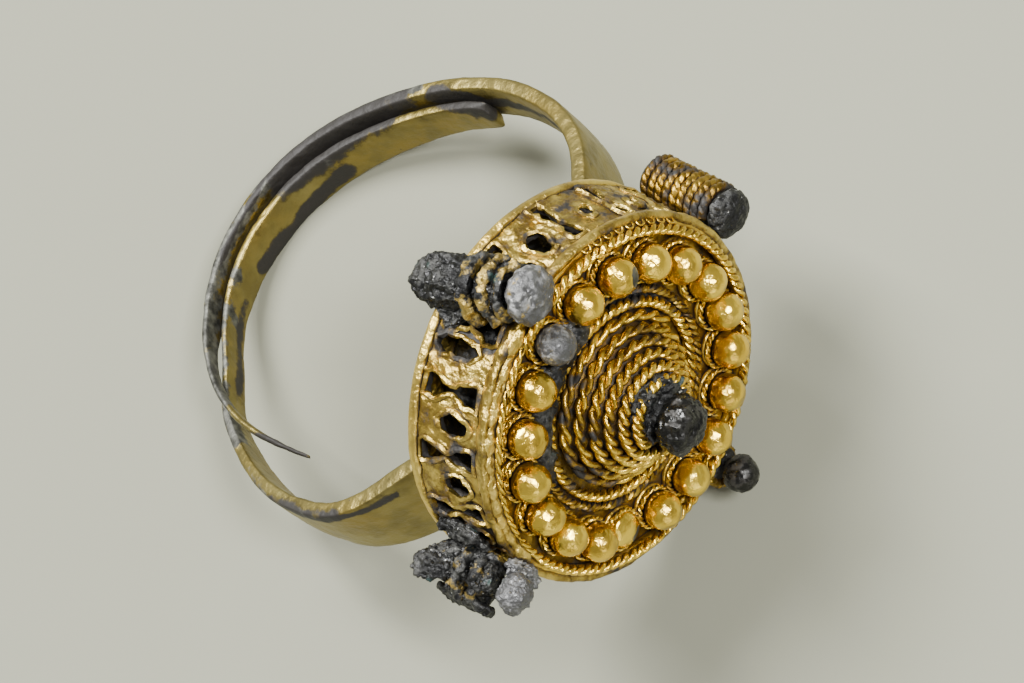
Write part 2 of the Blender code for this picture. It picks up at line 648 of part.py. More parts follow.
def lay_down(parts, pose, cutters):
    """Turns the ring so that it lies on z = 0, with small worn flats where it touches."""
    pose.matrix_world = lying_turn(lying_tilt(world_triangles(parts)))
    places = world_triangles(parts).reshape(-1, 3)
    low = places.min(axis=0)
    high = places.max(axis=0)
    shift = Vector((-(low[0] + high[0]) / 2, -(low[1] + high[1]) / 2, -low[2] - WORN_FLAT))
    pose.matrix_world = Matrix.Translation(shift) @ pose.matrix_world
    reach = 2 * max(high - low)
    bm = bmesh.new()
    bmesh.ops.create_cube(bm, size=reach)
    bmesh.ops.translate(bm, verts=bm.verts[:], vec=(0.0, 0.0, -reach / 2))
    ground = as_cutter(add_object("ground", mesh_from("ground", bm), cutters))
    for part in parts:
        if part.type == "MESH" and world_triangles([part])[:, :, 2].min() < 0:
            cut(part, ground, "Worn flat")


def build():
    clear_scene()
    ring = new_collection("finger_ring")
    cutters = new_collection("cutters")
    parts = [make_hoop(ring), make_base(ring), make_wall(ring, cutters)]
    parts += make_top(ring)
    parts += make_granules(ring)
    parts += make_cone(ring)
    parts += make_turrets(ring, cutters)
    pose = bpy.data.objects.new("lying_pose", None)
    ring.objects.link(pose)
    for part in parts + list(cutters.objects):
        part.parent = pose
    lay_down(parts, pose, cutters)


build()
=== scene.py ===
"""Looks of the antique gold finger ring: worn wires, granules, openwork, corrosion and tarnish.

New pieces are modelled in the ring's own frame: the origin is on the bezel's axis in the plane of the
rim wire, +Z runs out through the cone, +Y along the finger and +X across the bezel. Each finished piece
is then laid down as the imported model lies. Sizes are in metres.
"""
from math import atan2, cos, degrees, hypot, pi, radians, sin

import bpy
from mathutils import Matrix, Vector, noise


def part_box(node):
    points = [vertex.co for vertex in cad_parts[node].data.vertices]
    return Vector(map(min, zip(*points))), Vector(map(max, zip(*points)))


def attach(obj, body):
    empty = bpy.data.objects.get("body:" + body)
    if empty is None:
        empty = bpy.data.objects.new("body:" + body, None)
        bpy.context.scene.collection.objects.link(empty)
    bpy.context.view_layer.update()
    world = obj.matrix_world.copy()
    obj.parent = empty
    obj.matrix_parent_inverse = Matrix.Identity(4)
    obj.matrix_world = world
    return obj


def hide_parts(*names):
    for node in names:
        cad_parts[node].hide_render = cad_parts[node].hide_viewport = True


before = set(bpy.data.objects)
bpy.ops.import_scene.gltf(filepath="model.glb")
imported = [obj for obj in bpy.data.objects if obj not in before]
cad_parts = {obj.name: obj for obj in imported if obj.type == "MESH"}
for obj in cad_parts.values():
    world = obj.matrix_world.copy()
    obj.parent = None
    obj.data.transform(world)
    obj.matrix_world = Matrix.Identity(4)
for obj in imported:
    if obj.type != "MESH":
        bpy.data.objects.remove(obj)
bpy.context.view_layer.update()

# Camera, in the ring's own frame
CAMERA_PLACE = Vector((-0.01378, 0.07604, 0.06093))
CAMERA_FORWARD = Vector((0.13858, -0.74174, -0.65621))
CAMERA_UP = Vector((0.85961, 0.41913, -0.29222))
CAMERA_LENS = 87.9          # millimetres on a sensor 36 mm wide

# Bezel
RIM_WIRE_RADIUS = 0.00722
RIM_WIRE_THICKNESS = 0.00050
ROPE_RADIUS = 0.00702
ROPE_THICKNESS = 0.00048
ROPE_RISE = 0.00047         # of the rope's middle above the rim wire's
ROPE_TURNS = 49
WALL_TOP = -0.00028
WALL_FOOT = -0.00320
WALL_TOP_RADIUS = 0.00743
WALL_FOOT_RADIUS = 0.00785
WALL_THICKNESS = 0.00042
WALL_MIDDLE = (WALL_TOP + WALL_FOOT) / 2
LINING_RADIUS = 0.00665
LINING_PLAY = 0.0003        # how much lower than the wall it is
BASE_TOP = -0.00323
BASE_UNDERSIDE = -0.00367
BASE_RADIUS = 0.00800
BASE_EDGE = 0.00017
PLATE_TOP = -0.00009
PLATE_THICKNESS = 0.00036
PLATE_RINGS = 26            # of faces on its top, so that it can be made uneven
PLATE_RING_WIDTH = 0.00026

# Openings of the wall
LOOP_COUNT = 18
FIRST_LOOP_ANGLE = 7.0
LOOP_WIDTH = 0.00102
LOOP_HEIGHT = 0.00148
LOOP_LIFT = 0.00178
WAIST_GAP_WIDTH = 0.00096
WAIST_TOP_SHARE = 1.08      # width of a gap's top, as a share of its foot
WAIST_WIDTH = 0.00038
WAIST_MARGIN = 0.00016
EDGE_THICKNESS = 0.00022    # of the raised edge round each opening
EDGE_SPREAD = 1.06          # its width as a share of the opening's
CRUSHED_SECTOR = (18.0, 62.0)
CRUSHED_SHARE = 0.62
BROKEN_ANGLE = 105.0
BROKEN_WIDTH = 0.00086

# Granules and cone
GRANULE_COUNT = 19
GRANULE_CIRCLE = 0.00576
GRANULE_RADIUS = 0.00081
FIRST_GRANULE_ANGLE = 110.2
GREY_GRANULE = 2
CRUSHED_GRANULE = 14
# Spots of grey corrosion on granules, from each one's middle
GREY_SPOTS = {4: (0.00035, -0.0002, 0.00065), 14: (0.0002, -0.0006, 0.0002)}
CRUSHED_HEIGHT = 0.5
COLLAR_RADIUS = 0.00085     # of the twisted ring round a granule, to its middle
COLLAR_THICKNESS = 0.00026
COLLAR_FOOT_SHARE = 0.84    # thickness of the plain ring under it, as a share
COLLAR_STAGGER = 37.0       # degrees by which the twist of each collar is on from the last
COLLAR_TURNS = 10
COLLAR_RISE = 0.00036       # of the twisted ring's middle above the plate
CONE_BASE_RADIUS = 0.00352
CONE_TOP_RADIUS = 0.00132
CONE_HEIGHT = 0.00218
CONE_WIRE_THICKNESS = 0.00052
CONE_TURNS = 5.5
CONE_STRAND_TWISTS = 68
CONE_STEPS_A_TWIST = 18
FOOT_WIRE_RADIUS = 0.00402  # of the twisted ring that lies round the foot of the cone
FOOT_WIRE_TURNS = 31
GROOVE_WIRE_THICKNESS = 0.00040
GROOVE_WIRE_TURNS = 44
GROOVE_RADIUS = 0.00452     # of the twisted wire and the crust between the granules and the cone
GROOVE_CRUST_THICKNESS = 0.00124
GROOVE_CRUST_SQUASH = 0.62  # its height as a share of its width
RIM_BAND = (0.00734, -0.00010, 0.00026, 0.00046)    # radius, height, half thickness and half width
RIM_BAND_LEAN = 38.0

# Sectors of the bezel at the photo's left, in degrees: worn rope, melted band, lumps of solder, and soot on
# the wall beside the crusted turrets with its share
RUBBED_ROPE = (98, 172)
RUBBED_SHARE = 0.42         # of the rope's thickness
MOLTEN_BAND = (95, 176)
SOLDERED_RIM = (98.0, 174.0)
SOLDER_LUMPS = 11
SOOTY_WALL = {(158, 172): 0.8, (90, 102): 0.9}

# Tiny rings soldered on the rim: from, to and step in degrees, radius, height and outward lean
ANNULET_ROWS = [(24.0, 63.0, 4.6, 0.00736, 0.00024, 50.0), (107.0, 147.0, 5.4, 0.00668, 0.00040, -25.0)]
ANNULET_RADIUS = 0.00019
ANNULET_THICKNESS = 0.00010

# Turrets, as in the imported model: angle, foot, top, radius, how deep each is pressed in, and the degrees
# that its top leans outwards and along the rim
TURRETS = {
    "upper": (-6.0, -0.00478, -0.00106, 0.00115, 0.00004, -6.0, 0.0),
    "rear": (-85.5, -0.00450, -0.00050, 0.00100, 0.0, 0.0, 0.0),
    "front": (89.0, -0.00490, -0.00010, 0.00100, 0.0006, 0.0, 10.0),
    "lower": (173.5, -0.00350, 0.00012, 0.00100, 0.0002, 0.0, 0.0),
}
COIL_PITCH = 0.00043
COIL_WIRE = 0.00040
COIL_TWISTS_A_TURN = 9
COIL_FULLNESS = 1.08        # of the strands together, as a share of the wire
COIL_CORE_EDGE = 0.00006
COIL_OVERRUN = 0.00030      # how far a coil goes on round the foot of its ball
WORN_STRAND_OFFSET = 0.12   # of a worn coil's strands, where STRAND_OFFSET serves for sharp ones

# Tarnish on the hoop: strokes along places in millimetres, each with its half width and its strength
BLACK_STROKES = [
    (0.85, 1.00, [(3.2, 0.6, -22.9), (5.0, 0.6, -21.7), (6.4, 0.7, -20.5), (7.6, 0.7, -19.3)]),
    (0.60, 0.75, [(7.6, 0.7, -19.3), (8.5, 0.8, -18.2)]),
    (0.45, 0.85, [(-0.6, -1.0, -22.7), (1.9, -1.5, -22.5), (3.5, -1.2, -21.9), (4.9, -1.0, -21.0)]),
    (0.50, 0.95, [(9.0, 0.9, -16.6), (9.4, 0.4, -14.9), (9.3, 0.1, -14.1), (9.8, 0.3, -12.9)]),
    (0.40, 0.70, [(9.8, 0.3, -12.9), (9.8, 0.3, -11.4), (9.3, 0.4, -9.6)]),
    (0.35, 0.80, [(-8.2, 0.9, -16.4), (-7.9, 1.0, -14.8), (-7.7, 0.8, -12.4)]),
    (0.40, 0.65, [(-10.0, 1.0, -12.9), (-10.0, 1.4, -10.5), (-9.5, 1.6, -8.6)]),
    (0.17, 1.00, [(-9.7, 1.45, -8.9), (-9.0, 1.62, -7.7), (-8.5, 1.55, -7.0), (-7.5, 1.62, -6.2)]),
    (0.30, 0.55, [(-6.2, -0.5, -19.4), (-4.6, -0.6, -20.9), (-2.6, -0.7, -22.1)]),
    (0.22, 0.75, [(-6.0, 1.0, -19.6), (-4.4, 0.9, -21.2), (-1.0, 1.0, -23.1), (2.6, 1.1, -23.3)]),
]
GREY_STROKES = [
    (0.75, 0.85, [(-8.2, 0.5, -17.0), (-6.1, 0.9, -19.8), (-4.5, 0.9, -21.5), (-2.0, 1.0, -22.9)]),
    (0.60, 0.80, [(-2.0, 1.0, -22.9), (0.7, 1.1, -23.5), (2.6, 1.1, -23.4), (4.9, 1.1, -22.5)]),
    (0.45, 0.75, [(4.9, 1.1, -22.5), (6.6, 1.1, -21.4), (8.5, 1.1, -19.2), (9.2, 1.1, -17.6)]),
    (0.55, 0.60, [(4.4, 0.1, -22.0), (6.0, 0.1, -20.6)]),
    (0.35, 0.60, [(-9.3, 0.8, -15.2), (-10.2, 0.9, -12.7), (-9.9, 1.4, -10.0)]),
    (0.40, 0.50, [(-1.8, 0.2, -22.4), (-4.0, -0.2, -21.3)]),
]

# Share of a gold piece that black patches cover, at the least on the wall and the cone's wire
TARNISH = {"openwork_wall": 0.43, "cone_wire": 0.22, "ribbon_edges": 0.42, "rim_band": 0.35,
           "cone_foot_wire": 0.34, "groove_wire": 0.40, "coil": 0.46}

GAP = 0.00003               # the frame's pieces stand this far apart
STRAND_OFFSET = 0.24        # of a twisted wire's strand from its middle, as a share of its thickness
WALL_CELL = 0.000085        # size of the cells in which the opened wall is cast as one surface
CRUST_CELL = 0.000072       # the same, of a lump of corrosion
UP = Vector((0.0, 0.0, 1.0))

# Rings that still show in the crusted turrets: height, radius and thickness, and the gold left on them
FRONT_FLANGES = [(-0.00006, 0.00094, 0.00036), (-0.00060, 0.00110, 0.00042), (-0.00148, 0.00114, 0.00054)]
FRONT_FLANGE_GOLD = 0.50
LOWER_FLANGES = [(-0.00050, 0.00086, 0.00040), (-0.00118, 0.00098, 0.00040)]
LOWER_FLANGE_GOLD = 0.38

# Lumps of corrosion that cling to other pieces: name, place, size, grain and finish
CRUST_PATCHES = [
    ("crust_below_front_turret", (-0.0007, 0.0078, -0.0027), (0.0004, 0.0008, 0.0008), 0.0004, "black_crust"),
    ("crust_above_front_turret", (0.0008, 0.0080, -0.0022), (0.0003, 0.0006, 0.0007), 0.0004, "black_crust"),
    ("crust_at_lower_turret", (-0.0077, 0.0020, -0.0018), (0.00035, 0.0008, 0.0013), 0.0004, "black_crust"),
    ("crust_under_lower_ball", (-0.0079, 0.0004, 0.0004), (0.0005, 0.0010, 0.0006), 0.0006, "grey_crust"),
    ("flake_at_lower_turret", (-0.0092, 0.0020, -0.0024), (0.0008, 0.0004, 0.0010), 0.0005, "black_crust"),
    ("sliver_at_lower_turret", (-0.0098, 0.0006, -0.0013), (0.0003, 0.0007, 0.0016), 0.0005, "black_crust"),
    ("crust_round_charcoal_ball", (0.00015, 0.00030, 0.00215), (0.00150, 0.00145, 0.00060), 0.0005,
     "black_crust"),
    ("crust_by_grey_granule", (0.0006, 0.0050, 0.00012), (0.0006, 0.0008, 0.00035), 0.0003, "grey_crust"),
]

# Colours that the finishes share
ORANGE_PATINA = (0.30, 0.145, 0.018)
BROWN_PATINA = (0.12, 0.055, 0.012)
BLACK_TARNISH_AND_SHADE = (0.012, 0.010, 0.008)
# Black for tarnish, and for painted shade in deep recesses and inside the bezel
DARK_TARNISH = (0.045, 0.045, 0.040)
PALE_TARNISH = (0.18, 0.18, 0.155)
GOLD_TRACES = (0.42, 0.30, 0.08)

# Where a patch and the stain round it begin and are full, on the painted share plus the noise
PATCH_NOISE = 2.2
PATCH_EDGES = {"Mask": (1.52, 1.76), "Halo": (1.15, 1.80)}

# Gold: bright, patina, roughness, share of dirt, depth of its grain and whether its tarnish has soft edges
GOLD_FINISHES = {
    "worn_gold": ((0.96, 0.68, 0.09), ORANGE_PATINA, 0.23, 0.14, 0.00008, False),
    "granule_gold": ((0.98, 0.70, 0.09), ORANGE_PATINA, 0.20, 0.08, 0.00006, False),
    "patinated_gold": ((0.50, 0.34, 0.055), BROWN_PATINA, 0.38, 0.18, 0.00006, False),
    "wall_gold": ((0.82, 0.62, 0.15), (0.20, 0.10, 0.012), 0.32, 0.30, 0.00012, False),
    "hoop_gold": ((0.27, 0.225, 0.078), (0.105, 0.078, 0.022), 0.44, 0.06, 0.00005, True),
}

# Corrosion: dark, light, green traces and the colour of painted glints, strength of its bump and how smooth
# it is at its best
CRUST_FINISHES = {
    # The soot finish is near black: on the lining it is painted shade inside the bezel.
    "soot": ((0.004, 0.004, 0.004), (0.02, 0.02, 0.018), (0.006, 0.006, 0.006), (0.05, 0.05, 0.045),
             0.5, 0.35),
    "charcoal": ((0.005, 0.005, 0.004), (0.055, 0.051, 0.046), (0.03, 0.045, 0.04), (0.25, 0.24, 0.22),
                 0.25, 0.18),
    "black_crust": ((0.006, 0.006, 0.006), (0.085, 0.085, 0.078), (0.02, 0.06, 0.055), (0.45, 0.45, 0.42),
                    0.9, 0.35),
    "grey_crust": ((0.07, 0.07, 0.07), (0.33, 0.33, 0.32), (0.10, 0.14, 0.12), (0.60, 0.60, 0.58),
                   0.9, 0.35),
}

# Studio. Lights: way from the ring in the view's right, up and back, its length, size and power in watts
LIGHTS = {
    "window": ((-0.75, 0.62, 0.75), 0.24, 0.12, 2.9),
    "lamp": ((0.26, 0.12, 1.0), 0.30, 0.07, 1.50),
    "fill": ((0.5, -1.0, 0.7), 0.2, 0.14, 0.10),
}
LIGHTS_FACE = Vector((0.0, 0.0, 0.008))
FLOOR_SIZE = 0.9
FLOOR_HEIGHT = -0.00002
FLOOR_COLOURS = ((0.198, 0.200, 0.148), (0.218, 0.221, 0.165))
ROOM_COLOUR = (0.80, 0.79, 0.75, 1.0)
ROOM_LIGHT = 0.56


def deselect_all():
    for other in list(bpy.context.selected_objects):
        other.select_set(False)


def select_only(piece):
    deselect_all()
    piece.select_set(True)
    bpy.context.view_layer.objects.active = piece
    return piece


def middle_of(node):
    low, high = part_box(node)
    return (Vector(low) + Vector(high)) / 2


def ring_pose():
    """The ring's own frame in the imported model, from the bezel's round pieces and its first granule."""
    middle = middle_of("rim_wire")
    out = (middle - middle_of("base_plate")).normalized()
    first = middle_of("granule_01") - middle
    first = (first - out * first.dot(out)).normalized()
    across = Matrix.Rotation(radians(-FIRST_GRANULE_ANGLE), 3, out) @ first
    pose = Matrix((across, out.cross(across), out)).transposed().to_4x4()
    pose.translation = middle
    return pose


RING_POSE = ring_pose()


def edit_all(*steps):
    """Runs each step in edit mode, with the whole of the active mesh selected."""
    bpy.ops.object.mode_set(mode="EDIT")
    for step in steps:
        bpy.ops.mesh.select_all(action="SELECT")
        step()
    bpy.ops.object.mode_set(mode="OBJECT")


def add_modifier(piece, name, kind, **settings):
    modifier = piece.modifiers.new(name, kind)
    for key, value in settings.items():
        setattr(modifier, key, value)


def apply_modifiers(piece):
    select_only(piece)
    for modifier in list(piece.modifiers):
        bpy.ops.object.modifier_apply(modifier=modifier.name)
    return piece


def named(name):
    piece = bpy.context.active_object
    piece.name = name
    piece.data.name = name
    return piece


def bake_place(piece):
    """Moves the object's place, turn and scale into its mesh."""
    piece.data.transform(piece.matrix_world)
    piece.matrix_world = Matrix.Identity(4)
    return piece


def torus(name, segments, sides, radius, thickness, place=(0, 0, 0)):
    """A plain round ring, flat in the XY plane."""
    bpy.ops.mesh.primitive_torus_add(major_segments=segments, minor_segments=sides, major_radius=radius,
                                     minor_radius=thickness / 2, location=place)
    return bake_place(named(name))


def cylinder(name, sides, radius, middle, height, ends="NGON"):
    """A straight cylinder on the bezel's axis, with its middle at that height."""
    bpy.ops.mesh.primitive_cylinder_add(vertices=sides, radius=radius, depth=height, end_fill_type=ends,
                                        location=(0, 0, middle))
    return bake_place(named(name))


def lay(piece, slot, material, *nodes, angle=50):
    """Lays a finished piece down, gives it its finish and lets it ride on the ring's one body.

    What lies lower than the surface under the ring is pressed up to it.
    """
    bake_place(piece)
    piece.data.transform(RING_POSE)
    for vertex in piece.data.vertices:
        vertex.co.z = max(vertex.co.z, 0.0)
    piece.data.materials.clear()
    piece.data.materials.append(material)
    select_only(piece)
    bpy.ops.object.shade_smooth_by_angle(angle=radians(angle))
    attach(piece, "root")
    if nodes:
        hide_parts(*nodes)
    return piece


def copy_of(node, name):
    """A copy of a CAD piece with its points merged, in the ring's own frame."""
    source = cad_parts[node]
    piece = source.copy()
    piece.data = source.data.copy()
    bpy.context.scene.collection.objects.link(piece)
    for key in list(piece.keys()):
        del piece[key]
    piece.parent = None
    select_only(piece)
    piece = named(name)
    edit_all(lambda: bpy.ops.mesh.remove_doubles(threshold=1e-6))
    piece.data.transform(RING_POSE.inverted())
    return piece


def paint(piece, layer, value_at):
    """Stores what value_at(place, normal) gives on each point, for the material to read."""
    mesh = piece.data
    values = [value_at(vertex.co, vertex.normal) for vertex in mesh.vertices]
    mesh.attributes.new(layer, "FLOAT", "POINT").data.foreach_set("value", values)
    return piece


def paint_evenly(piece, layer, share):
    return paint(piece, layer, lambda place, normal: share)


def angle_of(place):
    """Degrees round the bezel's axis, from -180 to 180."""
    return degrees(atan2(place.y, place.x))


def outward(angle):
    """Direction away from the bezel's axis at an angle in radians."""
    return Vector((cos(angle), sin(angle), 0.0))


def between(value, low, high, soft):
    """1 between low and high, falling to 0 over the soft distance outside."""
    outside = max(low - value, value - high, 0.0)
    return max(0.0, 1.0 - outside / soft)


def near_spot(place, spot, reach):
    return max(0.0, 1.0 - (place - spot).length / reach)


def stroke_amount(place, strokes):
    """The strongest of the strokes at a place: full along the middle, ragged and fading at the edge."""
    spot = place * 1000
    amount = 0.0
    for half_width, strength, path in strokes:
        for first, second in zip(path, path[1:]):
            first = Vector(first)
            along = Vector(second) - first
            share = min(1.0, max(0.0, (spot - first).dot(along) / along.length_squared))
            away = (spot - first - along * share).length
            if away < half_width * 1.5:
                amount = max(amount, strength * min(1.0, 1.5 - away / half_width))
    return amount


def join(pieces, name):
    deselect_all()
    for piece in pieces:
        piece.select_set(True)
    bpy.context.view_layer.objects.active = pieces[0]
    bpy.ops.object.join()
    return named(name)


def lumps(place, grain, depth=1.0, octaves=4):
    """Fractal noise of that grain, from about minus the depth to the depth."""
    return noise.fractal(place / grain, 0.9, 2.1, octaves, noise_basis="PERLIN_ORIGINAL") * depth


def pit(place, spacing, reach, slope, seed=Vector()):
    """0 but for scattered round pits, which reach that share of their spacing and deepen to the middle."""
    return max(0.0, reach - noise.voronoi(place / spacing + seed)[0][0]) * slope


def crackle(place, grain):
    """Noise that is 0 in the cracks between its cells and up to 1 inside them."""
    near = noise.voronoi(place / grain)[0]
    return min(1.0, near[1] - near[0])


def move_points(piece, shift):
    """Moves each point by what shift(place, normal) gives."""
    mesh = piece.data
    normals = [vertex.normal.copy() for vertex in mesh.vertices]
    for vertex, normal in zip(mesh.vertices, normals):
        vertex.co += shift(vertex.co.copy(), normal)
    mesh.update()
    return piece


def roughen(piece, grain, depth, octaves=4):
    """Raises and sinks the surface in lumps of about that grain."""
    return move_points(piece, lambda place, normal: normal * lumps(place, grain, octaves=octaves) * depth)


def rub(piece, grain, depth):
    """Wears the surface down in places, and raises it nowhere."""
    return move_points(piece, lambda place, normal: normal * min(0.0, lumps(place, grain, depth)))


# Wires

def wire_curve(name, paths, thickness, closed, sides=2):
    """Round wires along lists of points, as one mesh."""
    curve = bpy.data.curves.new(name, "CURVE")
    curve.dimensions = "3D"
    curve.bevel_depth = thickness / 2
    curve.bevel_resolution = sides
    curve.use_fill_caps = not closed
    for path in paths:
        spline = curve.splines.new("POLY")
        spline.points.add(len(path) - 1)
        for point, place in zip(spline.points, path):
            point.co = (*place, 1.0)
        spline.use_cyclic_u = closed
    piece = bpy.data.objects.new(name, curve)
    bpy.context.scene.collection.objects.link(piece)
    select_only(piece)
    bpy.ops.object.convert(target="MESH")
    piece = named(name)
    edit_all(lambda: bpy.ops.mesh.remove_doubles(threshold=1e-7),
             lambda: bpy.ops.mesh.normals_make_consistent(inside=False))
    return piece


def strands(middle, frame_at, count, lay_radius, turns, steps):
    """Paths of strands that wind round a wire's middle line. frame_at gives two directions across it."""
    paths = []
    for strand in range(count):
        path = []
        for index in range(steps):
            share = index / steps
            side, up = frame_at(share)
            turn = 2 * pi * (turns * share + strand / count)
            path.append(middle(share) + lay_radius * (side * cos(turn) + up * sin(turn)))
        paths.append(path)
    return paths


def twisted_ring(name, centre, radius, thickness, turns, steps_per_turn=12, sides=1, phase=0.0):
    """A closed ring of two wires twisted together, flat in the ring's XY plane."""
    def middle(share):
        return centre + radius * outward(2 * pi * share + phase)

    def across(share):
        return outward(2 * pi * share + phase), UP

    paths = strands(middle, across, 2, thickness * STRAND_OFFSET, turns, turns * steps_per_turn)
    return wire_curve(name, paths, thickness * (1 - 2 * STRAND_OFFSET), True, sides)


# Hoop

def make_hoop(finish):
    """The CAD hoop, rounded, dented, pitted and tarnished."""
    piece = copy_of("hoop", "worn_hoop")
    edit_all(lambda: bpy.ops.mesh.tris_convert_to_quads(face_threshold=radians(50),
                                                        shape_threshold=radians(60)))
    add_modifier(piece, "Rounded", "SUBSURF", levels=3, render_levels=3)
    apply_modifiers(piece)

    def wear(place, normal):
        shallow = lumps(place, grain=0.0016, depth=0.00004) + lumps(place, grain=0.0004, depth=0.000012)
        pits = pit(place, spacing=0.0011, reach=0.12, slope=0.0006)
        return normal * (min(shallow, 0.00001) - pits - 0.000012)

    move_points(piece, wear)
    paint(piece, "black", lambda place, normal: stroke_amount(place, BLACK_STROKES))
    paint(piece, "grey", lambda place, normal: stroke_amount(place, GREY_STROKES))
    return lay(piece, "pale_gold", finish, "hoop", angle=60)


# Bezel wall

def on_wall(angle, height, lift=0.0):
    """Place on the outer side of the wall."""
    share = (height - WALL_FOOT) / (WALL_TOP - WALL_FOOT)
    radius = WALL_FOOT_RADIUS + (WALL_TOP_RADIUS - WALL_FOOT_RADIUS) * share + lift
    return Vector((radius * cos(angle), radius * sin(angle), height))


def loop_outline(width, height, middle, count=28):
    """A round loop, a little flatter at the foot than at the top."""
    turns = [2 * pi * i / count for i in range(count)]
    return [(width / 2 * cos(a) * (1.0 - 0.10 * sin(a)), middle + height / 2 * sin(a)) for a in turns]


def waist_outline(width, waist):
    """An upright gap, wide and square at both ends and narrow at half height."""
    foot = WALL_FOOT + WAIST_MARGIN
    top = WALL_TOP - WAIST_MARGIN
    side = []
    steps = 16
    for index in range(steps + 1):
        share = index / steps
        flare = abs(share - 0.5) * 2
        wide = width / 2 * (1.0 if share < 0.5 else WAIST_TOP_SHARE)
        corner = 1.0 if flare < 0.95 else 0.85
        half = (waist / 2 + (wide - waist / 2) * min(1.0, flare * 1.7) ** 1.3) * corner
        side.append((half, foot + (top - foot) * share))
    return side + [(-half, height) for half, height in reversed(side)]


def opening_share(angle):
    low, high = CRUSHED_SECTOR
    return CRUSHED_SHARE if low < angle % 360 < high else 1.0


def wall_openings():
    """Angle and outline of every opening, with the unevenness of handwork."""
    pitch = 360.0 / LOOP_COUNT
    openings = []
    for index in range(LOOP_COUNT):
        angle = FIRST_LOOP_ANGLE + pitch * index
        uneven = 1.0 + 0.06 * noise.noise(Vector((angle, 3.3, 0.7)))
        if abs(angle - BROKEN_ANGLE) < pitch / 2:
            low = WALL_FOOT + WAIST_MARGIN
            high = WALL_FOOT + 0.8 * (WALL_TOP - WALL_FOOT)
            outline = loop_outline(BROKEN_WIDTH, high - low, (low + high) / 2)
            angle = BROKEN_ANGLE
        else:
            share = opening_share(angle)
            outline = loop_outline(LOOP_WIDTH * share * uneven, LOOP_HEIGHT * share, WALL_FOOT + LOOP_LIFT)
        openings.append((angle, outline))
        gap_angle = FIRST_LOOP_ANGLE + pitch * (index + 0.5)
        openings.append((gap_angle, waist_outline(WAIST_GAP_WIDTH * opening_share(gap_angle), WAIST_WIDTH)))
    return openings


def ragged_point(side, height, angle):
    """A point of an outline, moved a little as a worn edge is."""
    spot = Vector((side / 0.0003, height / 0.0003, angle))
    fine = spot * 2.3
    sideways = 0.00012 * noise.noise(spot) + 0.00006 * noise.noise(fine)
    return side + sideways, height + 0.00009 * noise.noise(spot + Vector((5.0, 2.0, 0.0)))


def opening_cutter(openings):
    """One mesh of straight plugs, made by extruding each outline outwards."""
    inner = WALL_TOP_RADIUS - 3 * WALL_THICKNESS
    outer = WALL_FOOT_RADIUS + 2 * WALL_THICKNESS
    through = {"value": (outer - inner, 0.0, 0.0)}
    plugs = []
    for angle, outline in openings:
        mesh = bpy.data.meshes.new("plug")
        ragged = [ragged_point(side, height, angle) for side, height in outline]
        mesh.from_pydata([(inner, side, height) for side, height in ragged], [], [range(len(ragged))])
        plug = bpy.data.objects.new("plug", mesh)
        bpy.context.scene.collection.objects.link(plug)
        select_only(plug)
        edit_all(lambda: bpy.ops.mesh.extrude_region_move(TRANSFORM_OT_translate=through),
                 lambda: bpy.ops.mesh.normals_make_consistent(inside=False))
        mesh.transform(Matrix.Rotation(radians(angle), 4, "Z"))
        plugs.append(plug)
    return join(plugs, "wall_plugs")


def make_wall(finish):
    """The ribbon wall with its openings, and a raised edge round each of them."""
    openings = wall_openings()
    wall = cylinder("ribbon_wall", 360, WALL_FOOT_RADIUS, WALL_MIDDLE, WALL_TOP - WALL_FOOT, ends="NOTHING")
    taper = (WALL_FOOT_RADIUS - WALL_TOP_RADIUS) / (WALL_TOP - WALL_FOOT)
    for vertex in wall.data.vertices:
        radius = WALL_FOOT_RADIUS - (vertex.co.z - WALL_FOOT) * taper
        vertex.co.x *= radius / WALL_FOOT_RADIUS
        vertex.co.y *= radius / WALL_FOOT_RADIUS
    add_modifier(wall, "Thickness", "SOLIDIFY", thickness=WALL_THICKNESS, offset=-1)
    plugs = opening_cutter(openings)
    add_modifier(wall, "Openings", "BOOLEAN", object=plugs, solver="EXACT")
    apply_modifiers(wall)
    bpy.data.objects.remove(plugs)
    add_modifier(wall, "Cast", "REMESH", mode="VOXEL", voxel_size=WALL_CELL)
    apply_modifiers(wall)

    def wear(place, normal):
        hammered = lumps(place, grain=0.0009, depth=0.00009)
        rough = hammered + lumps(place, grain=0.00025, depth=0.00003, octaves=3)
        return normal * (rough - 0.00002 - pit(place, spacing=0.0007, reach=0.16, slope=0.0009))

    def black(place, normal):
        away = Vector((place.x, place.y, 0.0)).normalized()
        angle = angle_of(place)
        soot = sum(between(angle, *sector, 5) * share for sector, share in SOOTY_WALL.items())
        # Faces that turn away from the outside, the wall's inner side and the sides of its openings, are
        # painted black as painted shade inside the bezel.
        turned_in = between(normal.dot(away), -1.0, 0.2, 0.35)
        return min(1.0, max(TARNISH["openwork_wall"], turned_in * 1.3, soot))

    move_points(wall, wear)
    paint(wall, "black", black)
    edges = []
    for angle, outline in openings:
        path = []
        for side, height in outline:
            side, height = ragged_point(side, height, angle)
            turn = radians(angle) + side * EDGE_SPREAD / WALL_FOOT_RADIUS
            path.append(on_wall(turn, height, 0.00004 * noise.noise(Vector((side, height, angle)) / 0.0004)))
        edges.append(path)
    edging = wire_curve("ribbon_edges", edges, EDGE_THICKNESS, True, 1)
    move_points(edging, lambda place, normal: normal * (lumps(place, grain=0.0004, depth=0.00009) + 0.00001))
    paint_evenly(edging, "black", TARNISH["ribbon_edges"])
    lay(wall, "bright_gold", finish, "openwork_wall")
    lay(edging, "bright_gold", finish)


def make_lining(finish):
    """Dark lining inside the bezel, which shows through the openings: painted shade, a near-black sheet where
    little light reaches.
    """
    lining = cylinder("dark_lining", 160, LINING_RADIUS, WALL_MIDDLE, WALL_TOP - WALL_FOOT - LINING_PLAY)
    edit_all(lambda: bpy.ops.mesh.subdivide(number_cuts=3))
    roughen(lining, 0.0009, 0.00015)
    return lay(lining, "dark_crust", finish)


